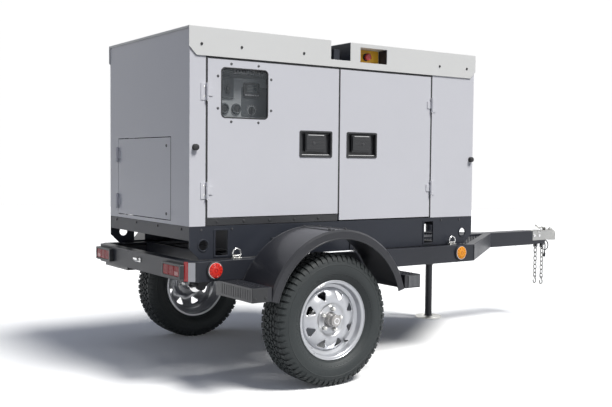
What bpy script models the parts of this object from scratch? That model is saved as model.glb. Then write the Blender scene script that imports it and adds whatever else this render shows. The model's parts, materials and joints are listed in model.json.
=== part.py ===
"""A towable diesel generator: a canopied generating set on a single-axle trailer.

Metres, +Z up, +X forward to the tow coupler, +Y to the left side. The origin is on the ground,
under the middle of the object.
"""

import math

import bmesh
import bpy
from mathutils import Matrix, Vector

# ---------------------------------------------------------------- driving dimensions

OVERALL_LENGTH = 3.485          # tail lamps to the nose of the coupler
SEAT = 0.0003                   # gap left between two pieces that touch
LEFT, RIGHT = 1, -1             # sign of Y for each side

# enclosure
ENCLOSURE_LENGTH = 1.990
ENCLOSURE_WIDTH = 1.025
ENCLOSURE_BOTTOM = 0.830
ROOF_TOP = 1.836
SHEET = 0.003                   # wall of every folded panel
REAR_POST_WIDTH = 0.091         # side return of the rear shell
FRONT_POST_WIDTH = 0.352        # side return of the front shell
DOOR_GAP = 0.012                # gap at the hinged edge of a door
DOOR_SPLIT_GAP = 0.008          # gap between two doors
DOOR_SPLIT = 0.938              # from the rear face to the middle of that gap
DOOR_DEPTH = 0.028              # of a door's folded edges
DOOR_FOOT_REAR = 0.043          # rear doors stop this far above the enclosure's bottom edge
DOOR_FOOT_FRONT = 0.006
DOOR_HEAD_GAP = 0.006

# roof
FLANGE_HEIGHT = 0.144           # side flange of the roof
FLANGE_PROUD = 0.006            # it stands outside the doors by this much
FLANGE_CHAMFER = 0.042
ROOF_END_LIP = 0.012            # the roof's lip over the end panels
TROUGH_WIDTH = 0.136            # cross trough that holds the lifting bails
TROUGH_DEPTH = 0.104

# emergency stop pocket, in the right flange
POCKET_START = 1.077            # from the rear face
POCKET_LENGTH = 0.196
POCKET_TOP_DROP = 0.022         # below the roof's top
POCKET_HEIGHT = 0.084
POCKET_DEPTH = 0.080
STOP_HEAD_RADIUS = 0.020
STOP_TRAVEL_ROOM = 0.012

# instrument window, in the right rear door
WINDOW_START = 0.181            # from the rear face
WINDOW_LENGTH = 0.281
WINDOW_BOTTOM = 1.385
WINDOW_HEIGHT = 0.256
WINDOW_LAP = 0.018              # pane behind the opening's edge
PANE = 0.004

# paddle latches
LATCH_LENGTH = 0.210
LATCH_HEIGHT = 0.136
LATCH_MIDDLE = 1.260
LATCH_FROM_SPLIT = 0.161        # its middle, from the door split
LATCH_CUP_DEPTH = 0.024
LATCH_WALL = 0.003
PADDLE_LENGTH = 0.140
PADDLE_THICKNESS = 0.006
PADDLE_CLEARANCE = 0.003

# hinges
HINGE_OUT = 0.010               # pin outside the door's face
KNUCKLE_RADIUS = 0.008
KNUCKLE_LENGTH = 0.043
HINGE_PIN_RADIUS = 0.0045
HINGE_CLEARANCE = 0.0005
LEAF_LENGTH = 0.034
LEAF_THICKNESS = 0.003
SIDE_HINGES = (1.011, 1.512)    # middle of each hinge
REAR_HINGES = (0.925, 1.193)

# service door in the rear shell
ACCESS_RIGHT = -0.303
ACCESS_LEFT = 0.392
ACCESS_BOTTOM = 0.848
ACCESS_TOP = 1.288
ACCESS_GAP = 0.004

# trailer frame
BUMPER_OVERHANG = 0.050         # bumper's rear face behind the enclosure
LAMP_PROUD = 0.025
RAIL_OUTSET = 0.090             # rails outside the enclosure's side
RAIL_TOP = 0.660
RAIL_HEIGHT = 0.102
RAIL_FLANGE = 0.050
RAIL_WALL = 0.005
BUMPER_DEPTH = 0.060
BUMPER_CORNER = 0.055           # how much of each end slopes forward
BUMPER_TIP = 0.012              # depth left at each end
DRAWBAR_BEND = 1.926            # from the enclosure's rear face to where the rails turn in
DRAWBAR_END = 2.662             # and to where they meet the tongue
TONGUE_WIDTH = 0.100
CROSSMEMBER_DEPTH = 0.045
NOSE_HEIGHT = 0.050             # low box in front of the tongue, under the coupler
NOSE_WIDTH = 0.084

# coupler
COUPLER_LENGTH = 0.295
COUPLER_WIDTH = 0.078
COUPLER_HEIGHT = 0.072
SOCKET_RADIUS = 0.0262
SOCKET_DEPTH = 0.046
SOCKET_WALL = 0.017
NOSE_REACH = 0.150              # of the nose box under the coupler

# safety chains
CHAIN_Y = 0.031
CHAIN_LINKS = 8
LINK_WIRE = 0.0035
LINK_INNER_LENGTH = 0.0300
LINK_HALF_WIDTH = 0.0115        # wire's centre to the link's centre line
CHAIN_SLACK = 0.0007            # the top link hangs this far below its pin's middle
CHAIN_PIN_DROP = 0.019          # pin below the nose box
CHAIN_BACK = 0.024              # pin behind the nose box's front

# running gear
AXLE_FROM_REAR = 0.664          # wheel centre, from the enclosure's rear face
TYRE_RADIUS = 0.344
TYRE_WIDTH = 0.205
TRACK_OUTSET = 0.160            # tyre's middle outside the rail
RIM_RADIUS = 0.1905             # 15 inch bead seat
RIM_WIDTH = 0.152
WHEEL_STEPS = 24
ARM_LENGTH = 0.152
ARM_RISE = 0.096                # axle tube above the wheel centre
AXLE_TUBE = 0.072
ARM_THICKNESS = 0.030
ARM_INSET = 0.002               # its inner face inside the rail's outer one
SPINDLE_RADIUS = 0.019
RUNNING = 0.0005                # radial clearance of a running fit
LUG_CIRCLE = 0.0572
LUG_COUNT = 5

# fenders and steps
FENDER_LIFT = 0.031             # its arc's centre above the wheel centre
FENDER_GAP = 0.101              # its arc outside the tyre's tread
FENDER_SKIRT = 0.050
FENDER_BOTTOM = 0.487
FENDER_OUTER = 0.400            # outside the enclosure's side
FENDER_STEPS = 20
STEP_LENGTH = 0.104

# jack
JACK_ALONG = 0.566              # from the bend, along the left drawbar member
JACK_OFFSET = 0.1675            # from that member's outer face
JACK_TUBE_RADIUS = 0.030
JACK_TUBE_WALL = 0.0035
JACK_LEG_RADIUS = 0.0255
JACK_TUBE_BOTTOM = 0.400
JACK_TUBE_TOP = 0.905
JACK_LEG_TOP = 0.520
JACK_FOOT_RADIUS = 0.098
JACK_FOOT_THICKNESS = 0.007
JACK_PIVOT_Z = 0.609
STUB_RADIUS = 0.022
COLLAR_LENGTH = 0.050
COLLAR_STANDOFF = 0.008         # between the collar and the jack's tube
CRANK_ARM = 0.130

# skid
SKID_WALL = 0.005
SKID_FLANGE = 0.055
SKID_CHAMFER_LENGTH = 0.060
SKID_CHAMFER_HEIGHT = 0.058
SKID_HOLE_RADIUS = 0.025
SKID_HOLE_FROM_END = 0.080
SKID_HOLE_BELOW_TOP = 0.098
SKID_SLOT_REAR = 0.150          # from the rear face to the rear slot
SKID_SLOT_FRONT = 0.331         # from the front face to the far edge of the front slot
SKID_SLOT_LENGTH = 0.070
SKID_BEAM_HEIGHT = 0.072
SKID_BEAM_DEPTH = 0.060

# power unit
SHAFT_Z = 1.100
SHAFT_RADIUS = 0.022
SHAFT_CLEARANCE = 0.001
TANK_WALL = 0.004

# ---------------------------------------------------------------- derived stations

REAR_X = -OVERALL_LENGTH / 2
COUPLER_NOSE_X = OVERALL_LENGTH / 2
BUMPER_X = REAR_X + LAMP_PROUD
ENCLOSURE_REAR = BUMPER_X + BUMPER_OVERHANG
ENCLOSURE_FRONT = ENCLOSURE_REAR + ENCLOSURE_LENGTH
HALF_WIDTH = ENCLOSURE_WIDTH / 2
FLANGE_BOTTOM = ROOF_TOP - FLANGE_HEIGHT
SPLIT_X = ENCLOSURE_REAR + DOOR_SPLIT
TROUGH_FLOOR = ROOF_TOP - TROUGH_DEPTH
RAIL_BOTTOM = RAIL_TOP - RAIL_HEIGHT
RAIL_Y = HALF_WIDTH + RAIL_OUTSET
RAIL_START = BUMPER_X + BUMPER_DEPTH + SEAT
BEND_X = ENCLOSURE_REAR + DRAWBAR_BEND
DRAWBAR_END_X = ENCLOSURE_REAR + DRAWBAR_END
TONGUE_HALF = TONGUE_WIDTH / 2
CROSSMEMBER_FRONT_X = BEND_X - 0.090
CROSSMEMBER_REAR_X = ENCLOSURE_REAR + 0.250
COUPLER_REAR_X = COUPLER_NOSE_X - COUPLER_LENGTH
COUPLER_BOTTOM = RAIL_BOTTOM + NOSE_HEIGHT - 0.022
SOCKET_X = COUPLER_NOSE_X - SOCKET_RADIUS - SOCKET_WALL
NOSE_FRONT_X = COUPLER_REAR_X + NOSE_REACH
AXLE_X = ENCLOSURE_REAR + AXLE_FROM_REAR
TRACK_Y = RAIL_Y + TRACK_OUTSET
AXLE_HEIGHT = TYRE_RADIUS + ARM_RISE
ARM_PIVOT_X = AXLE_X + math.sqrt(ARM_LENGTH**2 - ARM_RISE**2)
FENDER_Y = HALF_WIDTH + FENDER_OUTER
FENDER_CENTRE_Z = TYRE_RADIUS + FENDER_LIFT
FENDER_RADIUS = TYRE_RADIUS + FENDER_GAP
SKID_BOTTOM = RAIL_TOP + SEAT
SKID_TOP = ENCLOSURE_BOTTOM - SEAT

# ---------------------------------------------------------------- scene and materials

for old in list(bpy.data.objects):
    bpy.data.objects.remove(old)

PARTS = bpy.data.collections.new("Towable diesel generator")
bpy.context.scene.collection.children.link(PARTS)


def material(name, colour, roughness, metallic=0.0):
    made = bpy.data.materials.new(name)
    made.use_nodes = True
    shader = made.node_tree.nodes["Principled BSDF"]
    shader.inputs["Base Color"].default_value = (*colour, 1.0)
    shader.inputs["Roughness"].default_value = roughness
    shader.inputs["Metallic"].default_value = metallic
    return made


LIGHT_GREY = material("light_grey_paint", (0.63, 0.63, 0.65), 0.45)
BLACK_PAINT = material("black_paint", (0.022, 0.024, 0.030), 0.35)
ZINC = material("zinc_plate", (0.62, 0.62, 0.60), 0.35, 1.0)
RIM_SILVER = material("rim_silver", (0.55, 0.56, 0.58), 0.35, 0.7)
RUBBER = material("rubber", (0.020, 0.022, 0.024), 0.85)
BLACK_PLASTIC = material("black_plastic", (0.030, 0.030, 0.032), 0.5)
RED_LENS = material("red_lens", (0.45, 0.02, 0.02), 0.15)
STOP_RED = material("stop_red", (0.55, 0.03, 0.03), 0.3)
CLEAR_PANE = material("clear_pane", (0.30, 0.32, 0.33), 0.05)
ENGINE_GREY = material("engine_grey", (0.16, 0.17, 0.18), 0.5, 0.3)
ALUMINIUM = material("cast_aluminium", (0.50, 0.51, 0.52), 0.45, 0.9)
STEEL = material("bare_steel", (0.45, 0.45, 0.46), 0.35, 1.0)
PANEL_GREY = material("panel_grey", (0.20, 0.21, 0.22), 0.5)

# ---------------------------------------------------------------- shape helpers


def add(name, mesh, surface, collection=PARTS):
    """A new object round a mesh, in the given collection."""
    made = bpy.data.objects.new(name, mesh)
    collection.objects.link(made)
    if surface:
        mesh.materials.clear()
        mesh.materials.append(surface)
    return made


def from_bmesh(name, shape, surface):
    mesh = bpy.data.meshes.new(name)
    shape.to_mesh(mesh)
    shape.free()
    return add(name, mesh, surface)


def box(name, low, high, surface=None):
    """An axis-aligned block between two corners."""
    low, high = Vector(low), Vector(high)
    shape = bmesh.new()
    bmesh.ops.create_cube(shape, size=1.0)
    bmesh.ops.scale(shape, vec=high - low, verts=shape.verts)
    made = from_bmesh(name, shape, surface)
    made.matrix_world = Matrix.Translation((low + high) / 2)
    return made


def along(start, end):
    """The matrix that puts a Z-aligned shape, centred on the origin, between two points."""
    start, end = Vector(start), Vector(end)
    turn = (end - start).to_track_quat("Z", "Y").to_matrix().to_4x4()
    return Matrix.Translation((start + end) / 2) @ turn


def rod(name, start, end, radius, surface=None, steps=16):
    """A cylinder between two points."""
    shape = bmesh.new()
    length = (Vector(end) - Vector(start)).length
    bmesh.ops.create_cone(
        shape, cap_ends=True, segments=steps, radius1=radius, radius2=radius, depth=length
    )
    made = from_bmesh(name, shape, surface)
    made.matrix_world = along(start, end)
    return made


def bake(made):
    """Replaces an object's mesh by what its modifiers make of it, with the normals facing out."""
    bpy.context.view_layer.update()
    graph = bpy.context.evaluated_depsgraph_get()
    mesh = bpy.data.meshes.new_from_object(made.evaluated_get(graph))
    made.modifiers.clear()
    made.data = mesh
    shape = bmesh.new()
    shape.from_mesh(mesh)
    bmesh.ops.remove_doubles(shape, verts=shape.verts, dist=1e-6)
    bmesh.ops.recalc_face_normals(shape, faces=shape.faces)
    shape.to_mesh(mesh)
    shape.free()
    return made


def boolean(target, tools, operation):
    """Joins each tool to the target, or cuts it out, and removes the tools."""
    for tool in tools:
        modifier = target.modifiers.new(operation.title(), "BOOLEAN")
        modifier.operation = operation
        modifier.object = tool
        bake(target)
        bpy.data.objects.remove(tool)
    return target


def join(target, *tools):
    return boolean(target, tools, "UNION")


def cut(target, *tools):
    return boolean(target, tools, "DIFFERENCE")


def turned(name, profile, surface=None, steps=16, flat_foot=False):
    """A closed profile of (radius, height) turned about Z."""
    grow = 1 / math.cos(math.pi / steps) if flat_foot else 1.0
    shape = bmesh.new()
    points = [shape.verts.new((radius * grow, 0, height)) for radius, height in profile]
    for first, second in zip(points, points[1:] + points[:1]):
        shape.edges.new((first, second))
    made = from_bmesh(name, shape, None)
    screw = made.modifiers.new("Screw", "SCREW")
    screw.steps = screw.render_steps = steps
    screw.use_merge_vertices = True
    screw.merge_threshold = 1e-5
    bake(made)
    if surface:
        made.data.materials.append(surface)
    made.data.shade_smooth()
    made.data.set_sharp_from_angle(angle=math.radians(35))
    return made


def ring(name, outer, inner, low, high, surface=None, steps=12):
    profile = [(inner, low), (inner, high), (outer, high), (outer, low)]
    return turned(name, profile, surface, steps)


def curve_mesh(name, curve, surface):
    """Turns curve data into a mesh object with its caps welded on."""
    holder = bpy.data.objects.new(name + "_curve", curve)
    PARTS.objects.link(holder)
    bpy.context.view_layer.update()
    graph = bpy.context.evaluated_depsgraph_get()
    mesh = bpy.data.meshes.new_from_object(holder.evaluated_get(graph))
    bpy.data.objects.remove(holder)
    shape = bmesh.new()
    shape.from_mesh(mesh)
    bmesh.ops.remove_doubles(shape, verts=shape.verts, dist=1e-6)
    bmesh.ops.recalc_face_normals(shape, faces=shape.faces)
    shape.to_mesh(mesh)
    shape.free()
    return add(name, mesh, surface)


def tube(name, points, radius, surface=None, roundness=2, cyclic=False):
    """A round bar or cable through a list of points."""
    curve = bpy.data.curves.new(name, "CURVE")
    curve.dimensions = "3D"
    curve.bevel_depth = radius
    curve.bevel_resolution = roundness
    curve.use_fill_caps = not cyclic
    spline = curve.splines.new("POLY")
    spline.points.add(len(points) - 1)
    for place, point in zip(spline.points, points):
        place.co = (*point, 1)
    spline.use_cyclic_u = cyclic
    return curve_mesh(name, curve, surface)


def plate(name, outline, thickness, surface=None, holes=()):
    """A flat outline in local XY, with holes, of this thickness about Z = 0."""
    curve = bpy.data.curves.new(name, "CURVE")
    curve.dimensions = "2D"
    curve.fill_mode = "BOTH"
    curve.extrude = thickness / 2
    for loop in (outline, *holes):
        spline = curve.splines.new("POLY")
        spline.points.add(len(loop) - 1)
        for place, (x, y) in zip(spline.points, loop):
            place.co = (x, y, 0, 1)
        spline.use_cyclic_u = True
    return curve_mesh(name, curve, surface)


def in_xz(made, y):
    """Stands a plate up: its local X and Y become world X and Z, at this Y."""
    made.matrix_world = Matrix.Translation((0, y, 0)) @ Matrix.Rotation(math.pi / 2, 4, "X")
    return made


def in_yz(made, x):
    """Stands a plate up: its local X and Y become world Y and Z, at this X."""
    turn = Matrix(((0, 0, 1, 0), (1, 0, 0, 0), (0, 1, 0, 0), (0, 0, 0, 1)))
    made.matrix_world = Matrix.Translation((x, 0, 0)) @ turn
    return made


def rectangle(low, high):
    return [(low[0], low[1]), (high[0], low[1]), (high[0], high[1]), (low[0], high[1])]


def circle(centre, radius, steps=16):
    turns = [2 * math.pi * i / steps for i in range(steps)]
    return [(centre[0] + radius * math.cos(a), centre[1] + radius * math.sin(a)) for a in turns]


FACES = {"-x": (-1, 0, 0), "+x": (1, 0, 0), "-y": (0, -1, 0), "+y": (0, 1, 0),
         "-z": (0, 0, -1), "+z": (0, 0, 1)}


def tray(name, low, high, open_faces, wall, surface=None):
    """A block's skin without its open faces, given a wall that lies inside the block."""
    made = box(name, low, high, surface)
    shape = bmesh.new()
    shape.from_mesh(made.data)
    away = [Vector(FACES[key]) for key in open_faces]
    gone = [f for f in shape.faces if any(f.normal.dot(n) > 0.9 for n in away)]
    bmesh.ops.delete(shape, geom=gone, context="FACES")
    shape.to_mesh(made.data)
    shape.free()
    solidify = made.modifiers.new("Solidify", "SOLIDIFY")
    solidify.thickness = wall
    solidify.offset = -1
    solidify.use_even_offset = True
    return bake(made)


def swept_sheet(name, stations, wall, surface=None):
    """A sheet through rows of points, given a wall on the side its normals leave."""
    shape = bmesh.new()
    rows = [[shape.verts.new(point) for point in row] for row in stations]
    for row, following in zip(rows, rows[1:]):
        for a, b, c, d in zip(row, row[1:], following[1:], following):
            shape.faces.new((a, b, c, d))
    made = from_bmesh(name, shape, surface)
    solidify = made.modifiers.new("Solidify", "SOLIDIFY")
    solidify.thickness = wall
    solidify.offset = -1
    solidify.use_even_offset = True
    return bake(made)


def on_pivot(name, place, *pieces):
    """An empty on a joint's axis that carries the pieces which turn or slide there."""
    pivot = bpy.data.objects.new(name, None)
    pivot.location = place
    PARTS.objects.link(pivot)
    bpy.context.view_layer.update()
    for piece in pieces:
        world = piece.matrix_world.copy()
        piece.parent = pivot
        piece.matrix_parent_inverse = pivot.matrix_world.inverted()
        piece.matrix_world = world
    return pivot


def side_name(side):
    return "left" if side == LEFT else "right"


# ---------------------------------------------------------------- trailer frame


def drawbar_direction(side):
    """Unit vector along a drawbar member, from its bend to the tongue."""
    run = DRAWBAR_END_X - BEND_X
    rise = side * (TONGUE_HALF + SEAT - RAIL_Y)
    return Vector((run, rise, 0)).normalized()


def side_rail(side):
    """A channel that opens inward: straight beside the skid, then bent in to the tongue."""
    line = drawbar_direction(side)
    inward = Vector((0, -side, 0))
    inward_bar = Vector((line.y, -line.x, 0)) * (1 if side == LEFT else -1)
    mitre = (inward + inward_bar).normalized()
    mitre /= mitre.dot(inward)
    flush = inward_bar - line * (inward_bar.y / line.y)
    corners = [
        (Vector((RAIL_START, side * RAIL_Y, 0)), inward),
        (Vector((BEND_X, side * RAIL_Y, 0)), mitre),
        (Vector((DRAWBAR_END_X, side * (TONGUE_HALF + SEAT), 0)) + line * 0.03, flush),
    ]
    section = [(RAIL_FLANGE, RAIL_TOP), (0, RAIL_TOP), (0, RAIL_BOTTOM), (RAIL_FLANGE, RAIL_BOTTOM)]
    stations = [
        [place + step * depth + Vector((0, 0, z)) for depth, z in section] for place, step in corners
    ]
    if side == LEFT:
        stations.reverse()
    made = swept_sheet("side_rail_" + side_name(side), stations, RAIL_WALL, BLACK_PAINT)
    gap = TONGUE_HALF + SEAT
    return cut(made, box("mitre", (BEND_X, -gap, RAIL_BOTTOM - 0.01),
                         (DRAWBAR_END_X + 0.1, gap, RAIL_TOP + 0.01)))


def lamp_window(side):
    """(low, high) corners in YZ of the cut-out that a tail lamp passes through."""
    middle = side * (RAIL_Y - 0.150)
    low_z = RAIL_BOTTOM + 0.020
    return (middle - 0.098, low_z), (middle + 0.098, low_z + 0.062)


def rear_bumper():
    """A channel across the back, open to the front, with sloping ends and lamp cut-outs."""
    front = BUMPER_X + BUMPER_DEPTH
    tip = front - BUMPER_TIP
    stations = []
    for y, rear in (
        (-RAIL_Y, tip),
        (BUMPER_CORNER - RAIL_Y, BUMPER_X),
        (RAIL_Y - BUMPER_CORNER, BUMPER_X),
        (RAIL_Y, tip),
    ):
        stations.append([
            (front, y, RAIL_BOTTOM),
            (rear, y, RAIL_BOTTOM),
            (rear, y, RAIL_TOP),
            (front, y, RAIL_TOP),
        ])
    beam = swept_sheet("rear_bumper", stations, RAIL_WALL, BLACK_PAINT)
    for side in (LEFT, RIGHT):
        (y0, z0), (y1, z1) = lamp_window(side)
        cut(beam, box("lamp_cut", (BUMPER_X - 0.01, y0, z0), (BUMPER_X + 0.02, y1, z1)))
    return beam


def tail_lamp(side):
    """A boxed lamp through the bumper, with a flange on the bumper's rear face."""
    (y0, z0), (y1, z1) = lamp_window(side)
    fit = 0.001
    name = "tail_lamp_" + side_name(side)
    body = box(name, (BUMPER_X - 0.006, y0 + fit, z0 + fit), (BUMPER_X + 0.045, y1 - fit, z1 - fit),
               RED_LENS)
    flange = box("flange", (REAR_X, y0 - 0.007, z0 - 0.006), (BUMPER_X - SEAT, y1 + 0.007, z1 + 0.006))
    return join(body, flange)


def tongue_beam():
    """The central box beam, with a low nose box under the coupler and two chain lugs."""
    start = CROSSMEMBER_FRONT_X + CROSSMEMBER_DEPTH + SEAT
    low = (start, -TONGUE_HALF, RAIL_BOTTOM)
    high = (COUPLER_REAR_X - SEAT, TONGUE_HALF, RAIL_TOP)
    beam = tray("tongue_beam", low, high, ["-x"], RAIL_WALL, BLACK_PAINT)
    nose_top = COUPLER_BOTTOM - SEAT
    nose = box("nose", (COUPLER_REAR_X - RAIL_WALL / 2, -NOSE_WIDTH / 2, RAIL_BOTTOM + 0.002),
               (NOSE_FRONT_X, NOSE_WIDTH / 2, nose_top))
    join(beam, nose)
    pin_x, pin_z = chain_pin()
    for side in (LEFT, RIGHT):
        for offset in (-0.0085, 0.0085):
            y = side * CHAIN_Y + offset
            ear = box("ear", (pin_x - 0.013, y - 0.0025, pin_z - 0.012),
                      (pin_x + 0.013, y + 0.0025, RAIL_BOTTOM + 0.006))
            join(beam, ear)
        y = side * CHAIN_Y
        join(beam, rod("pin", (pin_x, y - 0.010, pin_z), (pin_x, y + 0.010, pin_z),
                       LINK_HALF_WIDTH * math.cos(math.pi / 6) - LINK_WIRE - RUNNING, steps=12))
    return beam


def chain_pin():
    """(x, z) of the pins that the safety chains hang on."""
    return NOSE_FRONT_X - CHAIN_BACK, RAIL_BOTTOM + 0.002 - CHAIN_PIN_DROP


def crossmember(name, x):
    """Channel between the rails' flanges, open to the front, that the skid stands on."""
    inner = RAIL_Y - RAIL_FLANGE - SEAT
    high = (x + CROSSMEMBER_DEPTH, inner, RAIL_TOP)
    return tray(name, (x, -inner, RAIL_BOTTOM), high, ["+x"], RAIL_WALL, BLACK_PAINT)


def axle_beam():
    """Square torsion-axle tube under the rails, on two hanger brackets."""
    half = AXLE_TUBE / 2
    end = RAIL_Y - ARM_INSET - 2 * SEAT
    low = (ARM_PIVOT_X - half, -end, AXLE_HEIGHT - half)
    high = (ARM_PIVOT_X + half, end, AXLE_HEIGHT + half)
    beam = tray("axle_beam", low, high, ["-y", "+y"], 0.006, BLACK_PAINT)
    for side in (LEFT, RIGHT):
        outer = side * (end - 0.001)
        inner = side * (RAIL_Y - RAIL_FLANGE + 0.004)
        low_y, high_y = sorted((outer, inner))
        low = (ARM_PIVOT_X - 0.075, low_y, AXLE_HEIGHT + half - 0.004)
        high = (ARM_PIVOT_X + 0.075, high_y, RAIL_BOTTOM - SEAT)
        join(beam, box("hanger", low, high))
    return beam


def torsion_arm(side):
    """Trailing arm from the axle tube to the wheel spindle, with a shaft into the tube."""
    inner, outer = side * (RAIL_Y - ARM_INSET), side * (RAIL_Y - ARM_INSET + ARM_THICKNESS)
    pivot = Vector((ARM_PIVOT_X, 0, AXLE_HEIGHT))
    wheel = Vector((AXLE_X, 0, TYRE_RADIUS))

    def at(point, y):
        return (point.x, y, point.z)

    name = "torsion_arm_" + side_name(side)
    arm = rod(name, at(pivot, inner), at(pivot, outer), 0.034, BLACK_PAINT, 20)
    join(arm,
         rod("boss", at(wheel, inner + side * 0.001), at(wheel, outer + side * 0.004), 0.030, steps=20))
    bar = box("bar", (-ARM_LENGTH / 2, -ARM_THICKNESS / 2 + 0.002, -0.022),
              (ARM_LENGTH / 2, ARM_THICKNESS / 2 - 0.002, 0.022))
    lean = math.atan2(ARM_RISE, pivot.x - wheel.x)
    bar.matrix_world = (
        Matrix.Translation(at((pivot + wheel) / 2, (inner + outer) / 2)) @ Matrix.Rotation(-lean, 4, "Y")
    )
    join(arm, bar)
    join(arm, rod("shaft", at(pivot, inner - side * 0.12), at(pivot, inner + side * 0.01), 0.021, steps=16))
    join(arm,
         rod("spindle", at(wheel, outer), at(wheel, side * (TRACK_Y + 0.055)), SPINDLE_RADIUS, steps=20))
    return arm


def fender(side):
    """Rounded fender with an outer skirt, and a step box at each end that reaches under the rail."""
    low_angle = math.asin((FENDER_BOTTOM - FENDER_CENTRE_Z) / FENDER_RADIUS)
    inner, outer = RAIL_Y + 0.008, FENDER_Y
    stations = []
    for i in range(FENDER_STEPS + 1):
        angle = low_angle + (math.pi - 2 * low_angle) * i / FENDER_STEPS
        out = Vector((math.cos(angle), 0, math.sin(angle)))
        centre = Vector((AXLE_X, 0, FENDER_CENTRE_Z))
        top = centre + out * FENDER_RADIUS
        lip = centre + out * (FENDER_RADIUS - FENDER_SKIRT)
        row = [(top, inner), (top, outer - 0.012), (top - out * 0.010, outer), (lip, outer)]
        stations.append([(p.x, side * y, p.z) for p, y in row])
    if side == RIGHT:
        stations.reverse()
    made = swept_sheet("fender_" + side_name(side), stations, SHEET, BLACK_PAINT)
    reach = FENDER_RADIUS * math.cos(low_angle)
    low_y, high_y = sorted((side * (RAIL_Y - RAIL_FLANGE + 0.010), side * FENDER_Y))
    for direction in (-1, 1):
        low_x, high_x = sorted((AXLE_X + direction * (reach - 0.006),
                                AXLE_X + direction * (reach + STEP_LENGTH)))
        top = RAIL_BOTTOM - SEAT
        step = tray("step", (low_x, low_y, FENDER_BOTTOM - 0.001), (high_x, high_y, top), ["-z"], SHEET)
        join(made, step)
    return made


# ---------------------------------------------------------------- wheels


def wheel_frame(side):
    """Turns a Z-turned shape so that its +Z points outward along the wheel's axis."""
    turn = Matrix.Rotation(-side * math.pi / 2, 4, "X")
    half_step = Matrix.Rotation(math.pi / WHEEL_STEPS, 4, "Z")
    return Matrix.Translation((AXLE_X, side * TRACK_Y, TYRE_RADIUS)) @ turn @ half_step


def tyre(side):
    """Hollow tyre with a flat tread face under the wheel centre."""
    half = TYRE_WIDTH / 2
    bead = RIM_WIDTH / 2 - 0.004
    seat = RIM_RADIUS + SEAT + 0.0005
    waist = TYRE_RADIUS - 0.082
    outside = [(seat, bead), (min(RIM_RADIUS + 0.0245, (seat + waist) / 2), bead + 0.004), (waist, half),
               (TYRE_RADIUS - 0.039, half - 0.002), (TYRE_RADIUS - 0.012, half - 0.014),
               (TYRE_RADIUS, half - 0.032)]
    inside = [(TYRE_RADIUS - 0.014, half - 0.034), (TYRE_RADIUS - 0.044, half - 0.014),
              (waist, half - 0.010), (seat, bead - 0.016)]
    profile = outside + [(r, -h) for r, h in reversed(outside)]
    profile += [(r, -h) for r, h in reversed(inside)] + inside
    made = turned("tyre_" + side_name(side), profile, RUBBER, WHEEL_STEPS, flat_foot=True)
    made.matrix_world = wheel_frame(side)
    return made


DISC_FACE = 0.048               # wheel disc's mounting face, outside the wheel's middle plane


def wheel_rim(side):
    """Dropped-centre rim with a dished disc, eight windows, a centre bore and lug holes."""
    half = RIM_WIDTH / 2
    wall = 0.0035
    flange = RIM_RADIUS + 0.017
    bead = RIM_RADIUS - SEAT
    drop = RIM_RADIUS - 0.022
    outer = [(flange, half + 0.004), (flange, half), (bead, half - 0.004), (bead, half - 0.028),
             (drop, half - 0.042),
             (drop, -half + 0.052), (bead, -half + 0.030), (bead, -half + 0.004), (flange, -half),
             (flange, -half - 0.004)]
    inner = [(bead - wall, -half - 0.001), (bead - wall, -half + 0.031), (drop - wall, -half + 0.053),
             (drop - wall, half - 0.043), (bead - wall, half - 0.029), (bead - wall, half + 0.001)]
    name = "wheel_rim_" + side_name(side)
    made = turned(name, outer + inner, RIM_SILVER, WHEEL_STEPS)
    face = DISC_FACE
    disc = [(0.034, face + 0.005), (0.078, face + 0.005), (0.088, face + 0.016), (0.118, face + 0.018),
            (drop - wall / 2, face - 0.012), (drop - wall / 2, face - 0.018),
            (0.117, face + 0.013), (0.090, face + 0.011), (0.080, face), (0.034, face)]
    join(made, turned("disc", disc, None, WHEEL_STEPS))
    for i in range(8):
        angle = 2 * math.pi * (i + 0.5) / 8
        outline = [(0.1500, -0.020), (0.1500, 0.020), (0.1390, 0.022), (0.1130, 0.003), (0.1130, -0.003),
                   (0.1390, -0.022)]
        window = plate("window", outline, 0.08)
        window.matrix_world = Matrix.Rotation(angle, 4, "Z") @ Matrix.Translation((0, 0, face))
        cut(made, window)
    for i in range(LUG_COUNT):
        angle = 2 * math.pi * i / LUG_COUNT
        x, y = LUG_CIRCLE * math.cos(angle), LUG_CIRCLE * math.sin(angle)
        cut(made, rod("lug_hole", (x, y, face - 0.02), (x, y, face + 0.03), 0.0078, steps=8))
    made.matrix_world = wheel_frame(side)
    return made


def wheel_hub(side):
    """Hub with its bore on the spindle, a flange behind the disc, lug studs and a grease cap."""
    face = DISC_FACE - SEAT
    bore = SPINDLE_RADIUS + RUNNING
    bore_end = 0.055 + 0.003
    profile = [(bore, -0.075), (bore, bore_end), (0, bore_end), (0, 0.112), (0.020, 0.112), (0.027, 0.104),
               (0.028, 0.078), (0.032, 0.076), (0.0325, face), (0.074, face), (0.074, face - 0.010),
               (0.046, face - 0.014), (0.042, -0.050), (0.050, -0.056), (0.050, -0.075)]
    made = turned("wheel_hub_" + side_name(side), profile, BLACK_PAINT, 16)
    for i in range(LUG_COUNT):
        angle = 2 * math.pi * i / LUG_COUNT
        x, y = LUG_CIRCLE * math.cos(angle), LUG_CIRCLE * math.sin(angle)
        join(made, rod("stud", (x, y, face - 0.006), (x, y, DISC_FACE + 0.030), 0.0062, steps=6))
    made.matrix_world = wheel_frame(side)
    return made


# ---------------------------------------------------------------- jack


def jack_frame():
    """Local frame at the jack's pivot height: X along the drawbar member, Y out from it, Z up."""
    line = drawbar_direction(LEFT)
    out = Vector((-line.y, line.x, 0))
    corner = Vector((BEND_X, RAIL_Y, 0))
    place = corner + line * JACK_ALONG + out * JACK_OFFSET + Vector((0, 0, JACK_PIVOT_Z))
    return Matrix((
        (line.x, out.x, 0, place.x),
        (line.y, out.y, 0, place.y),
        (0, 0, 1, place.z),
        (0, 0, 0, 1),
    ))


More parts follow.
